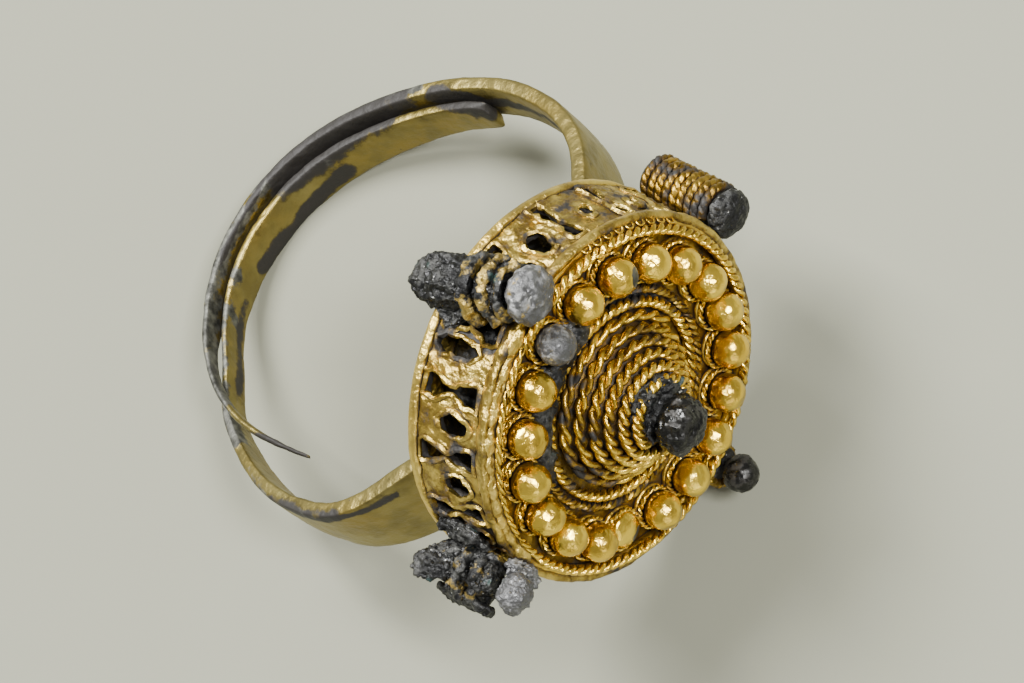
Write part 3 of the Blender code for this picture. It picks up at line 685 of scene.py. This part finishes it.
def make_base(finish):
    """The round plate at the back, with a worn soft edge."""
    middle = (BASE_TOP + BASE_UNDERSIDE) / 2
    plate = cylinder("worn_base", 240, BASE_RADIUS, middle, BASE_TOP - BASE_UNDERSIDE)
    add_modifier(plate, "Soft edge", "BEVEL", width=BASE_EDGE, segments=4, limit_method="ANGLE")
    apply_modifiers(plate)

    def wear(place, normal):
        side = Vector((place.x, place.y, 0.0))
        if side.length < BASE_RADIUS * 0.9:
            return Vector()
        dent = lumps(place, grain=0.0022, depth=0.00005) - 0.00005
        return side.normalized() * min(dent, 0.0)

    move_points(plate, wear)
    return lay(plate, "bright_gold", finish, "base_plate")


def make_plate(finish):
    """The plate under the granules, a little uneven."""
    radius = RIM_WIRE_RADIUS - RIM_WIRE_THICKNESS / 2 - GAP
    plate = cylinder("granule_plate", 200, radius, PLATE_TOP - PLATE_THICKNESS / 2, PLATE_THICKNESS)
    select_only(plate)
    bpy.ops.object.mode_set(mode="EDIT")
    bpy.ops.mesh.select_all(action="DESELECT")
    bpy.ops.object.mode_set(mode="OBJECT")
    for face in plate.data.polygons:
        face.select = face.normal.z > 0.9
    bpy.ops.object.mode_set(mode="EDIT")
    for _ in range(PLATE_RINGS):
        bpy.ops.mesh.inset(thickness=PLATE_RING_WIDTH)
    bpy.ops.object.mode_set(mode="OBJECT")

    def sag(place, normal):
        if normal.z < 0.5 or hypot(place.x, place.y) > RIM_WIRE_RADIUS * 0.93:
            return Vector()
        return Vector((0.0, 0.0, lumps(place, grain=0.0008, depth=0.00005)))

    move_points(plate, sag)
    # The underside is painted black as painted shade under the plate; the top gets a little tarnish.
    paint(plate, "black", lambda place, normal: 1.0 if normal.z < -0.5 else 0.2)
    lay(plate, "bright_gold", finish, "top_plate")


def make_rim(finish):
    """The plain wire and the twisted rope on it."""
    wire = torus("plain_rim_wire", 320, 16, RIM_WIRE_RADIUS, RIM_WIRE_THICKNESS)

    def wear(place, normal):
        return normal * min(0.0, lumps(place, grain=0.0008, depth=0.00008) - 0.00001)

    move_points(wire, wear)
    lay(wire, "bright_gold", finish, "rim_wire")
    rope_middle = Vector((0, 0, ROPE_RISE))
    rope = twisted_ring("twisted_rope", rope_middle, ROPE_RADIUS, ROPE_THICKNESS, ROPE_TURNS, 16, 2)

    def press(place, normal):
        centre = Vector((place.x, place.y, 0.0)).normalized() * ROPE_RADIUS + rope_middle
        rubbed = between(angle_of(place), *RUBBED_ROPE, 12)
        worn = min(0.0, lumps(place, grain=0.0008, depth=0.00008))
        return (centre - place) * rubbed * RUBBED_SHARE + normal * worn

    move_points(rope, press)
    lay(rope, "bright_gold", finish, "rim_rope")


def make_rim_band(finish):
    """The smooth band of solder that fills the rim, worn flat, from the wall up to the rope."""
    radius, height, half_thickness, half_width = RIM_BAND
    band = torus("rim_band", 360, 20, radius, 2 * half_width, (0, 0, height))
    lean = Matrix.Rotation(radians(RIM_BAND_LEAN), 3, "Y")

    def flatten(place, normal):
        turn = Matrix.Rotation(atan2(place.y, place.x), 3, "Z")
        section = turn.inverted() @ place - Vector((radius, 0.0, height))
        flat = lean @ Vector((section.x * half_thickness / half_width, 0.0, section.z))
        return turn @ (Vector((radius, 0.0, height)) + flat) - place

    move_points(band, flatten)

    def melt(place, normal):
        molten = between(angle_of(place), *MOLTEN_BAND, 10)
        dents = crackle(place, 0.0006) * 0.00010 * molten
        return normal * (lumps(place, 0.0006) * (0.00004 + 0.00008 * molten) - 0.00002 - dents)

    move_points(band, melt)
    paint_evenly(band, "black", TARNISH["rim_band"])
    lay(band, "bright_gold", finish)


def make_solder(finish):
    """Lumps of melted solder over the wires on the photo's left of the rim."""
    low, high = SOLDERED_RIM
    for number in range(1, SOLDER_LUMPS + 1):
        share = (number - 1) / (SOLDER_LUMPS - 1)
        angle = radians(low + (high - low) * share)
        swing = noise.noise(Vector((number * 1.3, 0.0, 4.0)))
        radius = RIM_WIRE_RADIUS - 0.00004 + 0.00012 * swing
        place = Vector((radius * cos(angle), radius * sin(angle), 0.00022 + 0.00008 * swing))
        size = (0.00034 + 0.00012 * swing, 0.00078 - 0.00020 * swing, 0.00020)
        crust_patch(f"solder_{number:02d}", place, size, 0.0010, finish, "bright_gold")


def make_annulets(finish):
    """Rows of tiny rings soldered on the rim."""
    rings = []
    for low, high, step, radius, height, lean in ANNULET_ROWS:
        for index in range(int((high - low) / step) + 1):
            angle = radians(low + step * index)
            ring = torus("annulet", 16, 8, ANNULET_RADIUS, ANNULET_THICKNESS)
            tip = Matrix.Rotation(radians(lean), 4, "Y")
            place = Matrix.Translation((radius, 0.0, height))
            ring.data.transform(Matrix.Rotation(angle, 4, "Z") @ place @ tip)
            rings.append(ring)
    row = join(rings, "annulets")
    roughen(row, 0.0003, 0.00002)
    lay(row, "bright_gold", finish)


# Granules

def granule_place(number):
    angle = radians(FIRST_GRANULE_ANGLE - 360.0 / GRANULE_COUNT * (number - 1))
    height = PLATE_TOP + GAP + GRANULE_RADIUS
    return Vector((GRANULE_CIRCLE * cos(angle), GRANULE_CIRCLE * sin(angle), height))


def make_granule(number, finishes):
    """A ball, not quite round and a little dented."""
    grey = number == GREY_GRANULE
    name, slot, finish = ("corroded_ball", "grey_crust", "grey_crust") if grey else \
                         ("gold_ball", "bright_gold", "granule_gold")
    bpy.ops.mesh.primitive_ico_sphere_add(subdivisions=5, radius=GRANULE_RADIUS)
    ball = bake_place(named(f"{name}_{number:02d}"))
    seed = Vector((number * 1.7, number * 0.3, 0.0))

    def form(place, normal):
        soft = lumps(place + seed * 0.01, grain=0.0010, depth=0.00003, octaves=3)
        dent = pit(place, spacing=0.0009, reach=0.35, slope=0.00012, seed=seed)
        if grey:
            soft += lumps(place, grain=0.00016, depth=0.00002, octaves=5) - 0.00002
        return normal * (soft - dent - 0.000016)

    move_points(ball, form)
    place = granule_place(number)
    if number == CRUSHED_GRANULE:
        ball.data.transform(Matrix.Diagonal((1.0, 1.0, CRUSHED_HEIGHT, 1.0)))
        place.z = PLATE_TOP + GAP + GRANULE_RADIUS * CRUSHED_HEIGHT
    ball.data.transform(Matrix.Translation(place))
    if number in GREY_SPOTS:
        spot = place + Vector(GREY_SPOTS[number])
        paint(ball, "grey", lambda here, normal: 2.0 * near_spot(here, spot, 0.00055))
    return lay(ball, slot, finishes[finish], f"granule_{number:02d}")


def make_collar(number, finish):
    """A plain ring on the plate and a twisted one on it, in which the granule sits."""
    place = granule_place(number)
    foot = torus("collar_foot", 40, 8, COLLAR_RADIUS, COLLAR_THICKNESS * COLLAR_FOOT_SHARE,
                 (place.x, place.y, PLATE_TOP + COLLAR_RISE / 3))
    place.z = PLATE_TOP + COLLAR_RISE
    twist = twisted_ring("collar_twist", place, COLLAR_RADIUS, COLLAR_THICKNESS, COLLAR_TURNS, 10, 1,
                         radians(COLLAR_STAGGER * number))
    collar = join([twist, foot], f"granule_collar_{number:02d}")
    rub(collar, 0.0005, 0.00004)
    return lay(collar, "bright_gold", finish)


# Cone

def cone_place(share):
    radius = CONE_BASE_RADIUS + (CONE_TOP_RADIUS - CONE_BASE_RADIUS) * share
    height = PLATE_TOP + GAP + CONE_WIRE_THICKNESS / 2 + CONE_HEIGHT * share
    turn = 2 * pi * CONE_TURNS * share
    return Vector((radius * cos(turn), radius * sin(turn), height))


def cone_across(share):
    return outward(2 * pi * CONE_TURNS * share), UP


def make_cone(finish):
    """Twisted wire wound up to the ball."""
    steps = CONE_STRAND_TWISTS * CONE_STEPS_A_TWIST
    lay_radius = CONE_WIRE_THICKNESS * STRAND_OFFSET
    paths = strands(cone_place, cone_across, 2, lay_radius, CONE_STRAND_TWISTS, steps)
    wire = wire_curve("twisted_cone_wire", paths, CONE_WIRE_THICKNESS * (1 - 2 * STRAND_OFFSET), False, 2)

    def soot(place, normal):
        angle = angle_of(place) % 360
        left_foot = between(angle, 95, 200, 35) * between(hypot(place.x, place.y), 0.0030, 0.01, 0.0009)
        streak = between(angle, 20, 75, 15) * between(place.z, 0.0006, 0.0012, 0.0004)
        return max(TARNISH["cone_wire"], left_foot * 0.52, streak * 0.45)

    rub(wire, 0.0006, 0.00003)
    paint(wire, "black", soot)
    lay(wire, "bright_gold", finish, "cone_wire")


def make_foot_wires(finishes):
    """Twisted rings round the foot of the cone and in the groove beside it."""
    foot_middle = Vector((0.0, 0.0, PLATE_TOP + CONE_WIRE_THICKNESS / 2))
    foot = twisted_ring("cone_foot_wire", foot_middle, FOOT_WIRE_RADIUS, CONE_WIRE_THICKNESS,
                        FOOT_WIRE_TURNS, 14, 2)
    rub(foot, 0.0006, 0.00003)
    paint_evenly(foot, "black", TARNISH["cone_foot_wire"])
    lay(foot, "bright_gold", finishes["worn_gold"])
    groove_middle = Vector((0.0, 0.0, PLATE_TOP + GROOVE_WIRE_THICKNESS * 0.4))
    filling = twisted_ring("groove_wire", groove_middle, GROOVE_RADIUS, GROOVE_WIRE_THICKNESS,
                           GROOVE_WIRE_TURNS, 12, 1)
    roughen(filling, 0.0006, 0.00006)
    paint_evenly(filling, "black", TARNISH["groove_wire"])
    lay(filling, "bright_gold", finishes["patinated_gold"])


def make_groove(finish):
    """Crust in the groove round the cone, thick at the photo's left and thin at its bottom, with a thin strip
    of it as painted shade where shadow falls between the cone and the granules.
    """
    crust = torus("groove_crust", 420, 22, GROOVE_RADIUS, GROOVE_CRUST_THICKNESS)
    crust.data.transform(Matrix.Diagonal((1.0, 1.0, GROOVE_CRUST_SQUASH, 1.0)))

    def corrode(place, normal):
        angle = angle_of(place) % 360
        left = between(angle, 80, 150, 35)
        # Between 320 and 350 degrees the crust is raised a little as painted shade, a dark fill where shadow
        # falls between the cone and the granules.
        above = max(between(angle, 15, 80, 20) * 0.55, between(angle, 320, 350, 20) * 0.35)
        cover = max(left, above)
        sunk = Vector((0.0, 0.0, PLATE_TOP - 0.00060 * (1 - cover) + 0.00030 * left))
        cracks = (crackle(place, grain=0.0003) - 0.5) * 0.00007
        return sunk + normal * (lumps(place, grain=0.0005, depth=0.00016, octaves=5) + cracks)

    move_points(crust, corrode)
    lay(crust, "dark_crust", finish)


# Corrosion

def crusted(name, node, finish, grain, depth, rounding=2, gold=0.0, shape=None):
    """A lump of corrosion on the form of a CAD node: rounded, then broken up by lumps and cracks.

    The gold is the share of it that still shows. The shape is a matrix that presses the rounded lump
    before the corrosion.
    """
    piece = copy_of(node, name)
    add_modifier(piece, "Body", "REMESH", mode="VOXEL", voxel_size=CRUST_CELL)
    add_modifier(piece, "Soft", "SMOOTH", iterations=rounding * 3, factor=0.5)
    add_modifier(piece, "Fine", "SUBSURF", levels=1, render_levels=1)
    apply_modifiers(piece)
    if shape:
        piece.data.transform(shape)

    def corrode(place, normal):
        rough = lumps(place, grain, depth, 5)
        cracks = (crackle(place, grain * 0.6) - 0.5) * depth * 0.5
        return normal * (rough + cracks - depth * 0.6)

    move_points(piece, corrode)
    if gold:
        paint_evenly(piece, "gold", gold)
    return lay(piece, "dark_crust", finish, node)


def crust_patch(name, place, size, grain, finish, slot="dark_crust"):
    """A lump of corrosion that clings to the piece under it. The size is along the ring's own axes."""
    bpy.ops.mesh.primitive_ico_sphere_add(subdivisions=5, radius=1.0)
    patch = bake_place(named(name))
    turn = Matrix.Rotation(atan2(place.y, place.x), 4, "Z")
    patch.data.transform(Matrix.Translation(place) @ turn @ Matrix.Diagonal((*size, 1.0)))
    depth = min(size)

    def corrode(here, normal):
        cracks = (crackle(here, grain * 0.6) - 0.5) * 0.4
        return normal * depth * (lumps(here, grain, 0.5, 5) + cracks)

    move_points(patch, corrode)
    return lay(patch, slot, finish)


# Turrets

def turret_pose(name):
    """Puts a piece that is built on the axis, at the turret's own heights, in its place."""
    angle, foot, top, radius, pressed_in, outwards, along = TURRETS[name]
    middle = (foot + top) / 2
    turn = Matrix.Rotation(radians(angle), 4, "Z")
    place = Matrix.Translation((BASE_RADIUS + radius + GAP - pressed_in, 0.0, middle))
    tip = Matrix.Rotation(radians(outwards), 4, "Y")
    lean = Matrix.Rotation(radians(along), 4, "X")
    return turn @ place @ tip @ lean @ Matrix.Translation((0.0, 0.0, -middle))


def pressed(height, wide, squash, shift=0.0):
    """Matrix that widens a ball about that height on its axis, flattens it and moves it along."""
    middle = Matrix.Translation((0.0, 0.0, height))
    form = Matrix.Translation((0.0, 0.0, shift)) @ middle @ Matrix.Diagonal((wide, wide, squash, 1.0))
    return form @ middle.inverted()


def pressed_cap(name, wide, squash, shift=0.0):
    """The same for the ball at the top of a turret."""
    pose = turret_pose(name)
    return pose @ pressed(TURRETS[name][2], wide, squash, shift) @ pose.inverted()


def make_coil(name, finishes):
    """A tube wound with twisted wire, worn until its strands barely show."""
    foot, top, outer = TURRETS[name][1:4]
    rise = top - foot - COIL_WIRE + COIL_OVERRUN
    turns = rise / COIL_PITCH
    radius = outer - COIL_WIRE / 2

    def middle(share):
        angle = 2 * pi * turns * share
        return Vector((radius * cos(angle), radius * sin(angle), foot + COIL_WIRE / 2 + rise * share))

    def across(share):
        return outward(2 * pi * turns * share), UP

    twists = int(turns * COIL_TWISTS_A_TURN)
    paths = strands(middle, across, 2, COIL_WIRE * WORN_STRAND_OFFSET, twists, twists * 12)
    coil = wire_curve(f"{name}_turret_coil", paths, COIL_WIRE * (COIL_FULLNESS - 2 * WORN_STRAND_OFFSET),
                      False, 2)
    roughen(coil, 0.0005, 0.00004)
    coil.data.transform(turret_pose(name))
    paint_evenly(coil, "black", TARNISH["coil"])
    lay(coil, "bright_gold", finishes["patinated_gold"], f"{name}_turret_tube")
    core = cylinder(f"{name}_turret_core", 40, radius, (foot + top) / 2, top - foot)
    add_modifier(core, "Soft edge", "BEVEL", width=COIL_CORE_EDGE, segments=2)
    apply_modifiers(core)
    core.data.transform(turret_pose(name))
    lay(core, "dark_crust", finishes["black_crust"])


def make_flanges(name, places, gold_share, finish):
    """Rings that still show in a crusted turret, with a share of gold left on them."""
    rings = []
    for height, radius, thickness in places:
        ring = torus("flange", 90, 18, radius, thickness, (0, 0, height))
        rings.append(roughen(ring, 0.0005, 0.00020, 5))
    flanges = join(rings, f"{name}_turret_rings")
    flanges.data.transform(turret_pose(name))
    paint_evenly(flanges, "gold", gold_share)
    lay(flanges, "dark_crust", finish)


def make_corrosion(finishes):
    """The dark ball on the cone, the turrets' balls and the two turrets that are mostly corrosion."""
    black = finishes["black_crust"]
    grey = finishes["grey_crust"]
    crusted("charcoal_ball", "cone_ball", finishes["charcoal"], 0.0015, 0.00024, rounding=1,
            shape=pressed(0.00310, 1.15, 1.04))
    crusted("upper_crusted_ball", "upper_turret_ball", black, 0.0006, 0.00006,
            shape=pressed_cap("upper", 1.02, 0.85, -0.00010))
    crusted("rear_crusted_ball", "rear_turret_ball", finishes["charcoal"], 0.0008, 0.00003)
    crusted("front_crusted_ball", "front_turret_ball", grey, 0.0007, 0.00009, gold=0.20,
            shape=pressed_cap("front", 1.12, 0.9))
    crusted("lower_crusted_ball", "lower_turret_ball", grey, 0.0009, 0.00018)
    crusted("front_crust", "front_turret_tube", black, 0.00035, 0.00012)
    crusted("lower_crust", "lower_turret_tube", black, 0.0004, 0.00012, gold=0.30)


# Materials

def new_material(name):
    material = bpy.data.materials.new(name)
    material.use_nodes = True
    return material, material.node_tree, material.node_tree.nodes["Principled BSDF"]


def add_node(tree, kind, values=None, **settings):
    """A node with its settings and with the values of its inputs."""
    node = tree.nodes.new(kind)
    for key, value in settings.items():
        setattr(node, key, value)
    for socket, value in (values or {}).items():
        node.inputs[socket].default_value = value
    return node


def new_group(name, inputs, outputs):
    """A shader node group with named number inputs and outputs."""
    group = bpy.data.node_groups.new(name, "ShaderNodeTree")
    for socket, value in inputs.items():
        made = group.interface.new_socket(socket, in_out="INPUT", socket_type="NodeSocketFloat")
        made.default_value = value
    for socket in outputs:
        group.interface.new_socket(socket, in_out="OUTPUT", socket_type="NodeSocketFloat")
    return group, group.nodes.new("NodeGroupInput"), group.nodes.new("NodeGroupOutput")


def add_noise(group, given, values):
    """Noise on object coordinates inside a group, with the scale and the seed that the group is given."""
    coordinates = group.nodes.new("ShaderNodeTexCoord")
    texture = add_node(group, "ShaderNodeTexNoise", values, noise_dimensions="4D")
    group.links.new(coordinates.outputs["Object"], texture.inputs["Vector"])
    group.links.new(given.outputs["Scale"], texture.inputs["Scale"])
    group.links.new(given.outputs["Seed"], texture.inputs["W"])
    return texture.outputs["Fac"]


def make_grain_group():
    """Noise on object coordinates, spread between two thresholds."""
    inputs = {"Scale": 1000.0, "Low": 0.3, "High": 0.7, "Seed": 0.0}
    group, given, result = new_group("grain", inputs, ["Mask"])
    texture = add_noise(group, given, {"Detail": 7.0})
    spread = add_node(group, "ShaderNodeMapRange", interpolation_type="SMOOTHSTEP")
    group.links.new(texture, spread.inputs["Value"])
    group.links.new(given.outputs["Low"], spread.inputs["From Min"])
    group.links.new(given.outputs["High"], spread.inputs["From Max"])
    group.links.new(spread.outputs["Result"], result.inputs["Mask"])
    return group


def make_patches_group():
    """Ragged patches that cover the painted share of a piece, and the wider stain round them."""
    inputs = {"Amount": 0.0, "Scale": 1500.0, "Seed": 0.0}
    group, given, result = new_group("patches", inputs, ["Mask", "Halo"])
    texture = add_noise(group, given, {"Detail": 8.0, "Roughness": 0.62})
    total = add_node(group, "ShaderNodeMath", {1: PATCH_NOISE}, operation="MULTIPLY_ADD")
    group.links.new(texture, total.inputs[0])
    group.links.new(given.outputs["Amount"], total.inputs[2])
    for output, (low, high) in PATCH_EDGES.items():
        edge = add_node(group, "ShaderNodeMapRange", {"From Min": low, "From Max": high},
                        interpolation_type="SMOOTHSTEP")
        group.links.new(total.outputs["Value"], edge.inputs["Value"])
        group.links.new(edge.outputs["Result"], result.inputs[output])
    return group


GRAIN = make_grain_group()
PATCHES = make_patches_group()


def grain(tree, scale, low, high, seed=0.0):
    values = {"Scale": scale, "Low": low, "High": high, "Seed": seed}
    return add_node(tree, "ShaderNodeGroup", values, node_tree=GRAIN).outputs["Mask"]


def patches(tree, layer, scale, seed):
    """Masks of the patches painted on a piece under that name, and of the stain round them."""
    painted = add_node(tree, "ShaderNodeAttribute", attribute_name=layer)
    node = add_node(tree, "ShaderNodeGroup", {"Scale": scale, "Seed": seed}, node_tree=PATCHES)
    tree.links.new(painted.outputs["Fac"], node.inputs["Amount"])
    return node.outputs["Mask"], node.outputs["Halo"]


def mix_colour(tree, mask, first, second):
    mix = add_node(tree, "ShaderNodeMix", data_type="RGBA")
    tree.links.new(mask, mix.inputs["Factor"])
    for socket, value in ((mix.inputs["A"], first), (mix.inputs["B"], second)):
        if isinstance(value, tuple):
            socket.default_value = (*value, 1.0)
        else:
            tree.links.new(value, socket)
    return mix.outputs["Result"]


def ramp(tree, value, low, high, start=0.0, end=1.0):
    """A value's range from low to high, turned into start to end."""
    values = {"From Min": low, "From Max": high, "To Min": start, "To Max": end}
    node = add_node(tree, "ShaderNodeMapRange", values, interpolation_type="SMOOTHSTEP")
    tree.links.new(value, node.inputs["Value"])
    return node.outputs["Result"]


def combine(tree, operation, first, second):
    node = add_node(tree, "ShaderNodeMath", operation=operation)
    tree.links.new(first, node.inputs[0])
    tree.links.new(second, node.inputs[1])
    return node.outputs["Value"]


def add_bump(tree, shader, height, strength, distance):
    bump = add_node(tree, "ShaderNodeBump", {"Strength": strength, "Distance": distance})
    tree.links.new(height, bump.inputs["Height"])
    tree.links.new(bump.outputs["Normal"], shader.inputs["Normal"])


def gold_material(name, bright, patina, roughness, dirt_share, bump_depth, soft):
    """Worn gold: brown patina in the recesses with specks of soot, black painted shade deeper in, black and
    grey tarnish where it is painted.
    """
    material, tree, shader = new_material(name)
    shade = add_node(tree, "ShaderNodeAmbientOcclusion", {"Distance": 0.0005}, samples=8)
    recess = ramp(tree, shade.outputs["AO"], 0.80, 0.25)
    # Painted shade: where the occlusion is deepest the colour goes black.
    painted_deep_shade = ramp(tree, shade.outputs["AO"], 0.40, 0.05)
    blotch = grain(tree, scale=900.0, low=0.40, high=0.66)
    tone = grain(tree, scale=300.0, low=0.35, high=0.70, seed=11.0)
    worn = tuple(0.5 * b + 0.5 * p for b, p in zip(bright, patina))
    warm = (bright[0] * 0.92, bright[1] * 0.82, bright[2] * 0.60)
    base = mix_colour(tree, tone, bright, warm)
    base = mix_colour(tree, blotch, base, worn)
    base = mix_colour(tree, recess, base, patina)
    speck = grain(tree, scale=2600.0, low=0.66 - dirt_share, high=0.76 - dirt_share, seed=3.0)
    # Specks of soot in the recesses, together with the painted shade of the deepest ones.
    soot = combine(tree, "MAXIMUM", combine(tree, "MULTIPLY", recess, speck), painted_deep_shade)
    patch, halo = patches(tree, "black", scale=900.0, seed=1.0)
    if soft:
        patch = ramp(tree, halo, 0.30, 1.0)
    pits = grain(tree, scale=4200.0, low=0.69, high=0.75, seed=13.0)
    black = combine(tree, "MAXIMUM", soot, combine(tree, "MAXIMUM", patch, pits))
    grey = patches(tree, "grey", scale=1100.0, seed=4.0)[0]
    stain = ramp(tree, halo, 0.0, 1.0, 0.0, 0.85)
    silver_grain = grain(tree, scale=2200.0, low=0.3, high=0.7, seed=6.0)
    silver = mix_colour(tree, silver_grain, DARK_TARNISH, PALE_TARNISH)
    base = mix_colour(tree, stain, base, tuple(0.5 * p for p in patina))
    colour = mix_colour(tree, grey, base, silver)
    # Black for tarnish, and as painted shade in deep recesses and on inner and under sides painted black.
    colour = mix_colour(tree, black, colour, BLACK_TARNISH_AND_SHADE)
    tree.links.new(colour, shader.inputs["Base Color"])
    rough = combine(tree, "MAXIMUM", recess, combine(tree, "MAXIMUM", black, grey))
    tree.links.new(ramp(tree, rough, 0.0, 1.0, roughness, 0.62), shader.inputs["Roughness"])
    tree.links.new(ramp(tree, black, 0.0, 1.0, 1.0, 0.15), shader.inputs["Metallic"])
    rubbing = grain(tree, scale=2000.0, low=0.2, high=0.8, seed=5.0)
    add_bump(tree, shader, rubbing, 0.8, bump_depth)
    return material


def crust_material(name, dark, light, tint, painted_glint_colour, bump, gloss):
    """Rough corrosion from black to grey, with painted glints, traces of green, and traces of gold where it
    is painted.
    """
    material, tree, shader = new_material(name)
    large = grain(tree, scale=700.0, low=0.40, high=0.66)
    fine = grain(tree, scale=3600.0, low=0.38, high=0.68, seed=2.0)
    grey = mix_colour(tree, combine(tree, "MULTIPLY", large, fine), dark, light)
    # Painted glints: scattered bright specks in the base colour.
    painted_glints = grain(tree, scale=5200.0, low=0.66, high=0.72, seed=8.0)
    grey = mix_colour(tree, painted_glints, grey, painted_glint_colour)
    green = grain(tree, scale=1000.0, low=0.62, high=0.74, seed=7.0)
    colour = mix_colour(tree, green, grey, tint)
    gold = patches(tree, "gold", scale=1500.0, seed=9.0)[0]
    colour = mix_colour(tree, gold, colour, GOLD_TRACES)
    tree.links.new(colour, shader.inputs["Base Color"])
    tree.links.new(ramp(tree, gold, 0.0, 1.0, 0.45, 1.0), shader.inputs["Metallic"])
    tree.links.new(ramp(tree, fine, 0.0, 1.0, gloss, gloss + 0.35), shader.inputs["Roughness"])
    add_bump(tree, shader, fine, bump, 0.00005)
    return material


def make_finishes():
    finishes = {name: gold_material(name, *values) for name, values in GOLD_FINISHES.items()}
    finishes.update({name: crust_material(name, *values) for name, values in CRUST_FINISHES.items()})
    return finishes


# Studio

def make_stage():
    bpy.ops.mesh.primitive_plane_add(size=FLOOR_SIZE, location=(0, 0, FLOOR_HEIGHT))
    floor = named("pale_floor")
    material, tree, shader = new_material("pale_floor")
    cloud = grain(tree, scale=18.0, low=0.3, high=0.7)
    tree.links.new(mix_colour(tree, cloud, *FLOOR_COLOURS), shader.inputs["Base Color"])
    shader.inputs["Roughness"].default_value = 0.9
    floor.data.materials.append(material)


def add_light(name, place, size, power):
    """A soft square light that faces the ring."""
    lamp = bpy.data.lights.new(name, "AREA")
    lamp.shape = "SQUARE"
    lamp.size = size
    lamp.energy = power
    light = bpy.data.objects.new(name, lamp)
    bpy.context.scene.collection.objects.link(light)
    light.location = place
    aim = LIGHTS_FACE - place
    light.rotation_euler = aim.to_track_quat("-Z", "Y").to_euler()


def make_camera():
    lens = bpy.data.cameras.new("view_of_the_photo")
    lens.lens = CAMERA_LENS
    lens.sensor_width = 36.0
    lens.clip_start = 0.001
    lens.clip_end = 5.0
    camera = bpy.data.objects.new("view_of_the_photo", lens)
    bpy.context.scene.collection.objects.link(camera)
    back = -CAMERA_FORWARD.normalized()
    right = CAMERA_UP.cross(back).normalized()
    up = back.cross(right)
    turn = Matrix((right, up, back)).transposed().to_4x4()
    turn.translation = CAMERA_PLACE
    camera.matrix_world = RING_POSE @ turn
    bpy.context.scene.camera = camera
    return camera


def make_light(camera):
    """A large soft light from the photo's upper left, a lamp by the camera, a fill and a pale room."""
    view = camera.matrix_world.to_3x3()
    for name, (way, distance, size, power) in LIGHTS.items():
        add_light(name, LIGHTS_FACE + view @ Vector(way) * distance, size, power)
    world = bpy.data.worlds.new("room")
    bpy.context.scene.world = world
    world.use_nodes = True
    background = world.node_tree.nodes["Background"]
    background.inputs["Color"].default_value = ROOM_COLOUR
    background.inputs["Strength"].default_value = ROOM_LIGHT


camera = make_camera()
finishes = make_finishes()
make_hoop(finishes["hoop_gold"])
make_wall(finishes["wall_gold"])
make_lining(finishes["soot"])
make_base(finishes["wall_gold"])
make_plate(finishes["patinated_gold"])
make_rim(finishes["worn_gold"])
make_rim_band(finishes["wall_gold"])
make_solder(finishes["wall_gold"])
make_annulets(finishes["worn_gold"])
for number in range(1, GRANULE_COUNT + 1):
    make_granule(number, finishes)
    make_collar(number, finishes["worn_gold"])
make_cone(finishes["worn_gold"])
make_foot_wires(finishes)
make_groove(finishes["black_crust"])
make_corrosion(finishes)
make_coil("upper", finishes)
make_coil("rear", finishes)
make_flanges("front", FRONT_FLANGES, FRONT_FLANGE_GOLD, finishes["black_crust"])
make_flanges("lower", LOWER_FLANGES, LOWER_FLANGE_GOLD, finishes["black_crust"])
for name, place, size, coarseness, finish in CRUST_PATCHES:
    crust_patch(name, Vector(place), size, coarseness, finishes[finish])
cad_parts["cone_core"].data.materials.clear()
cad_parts["cone_core"].data.materials.append(finishes["patinated_gold"])
make_stage()
make_light(camera)

deselect_all()
bpy.context.view_layer.update()
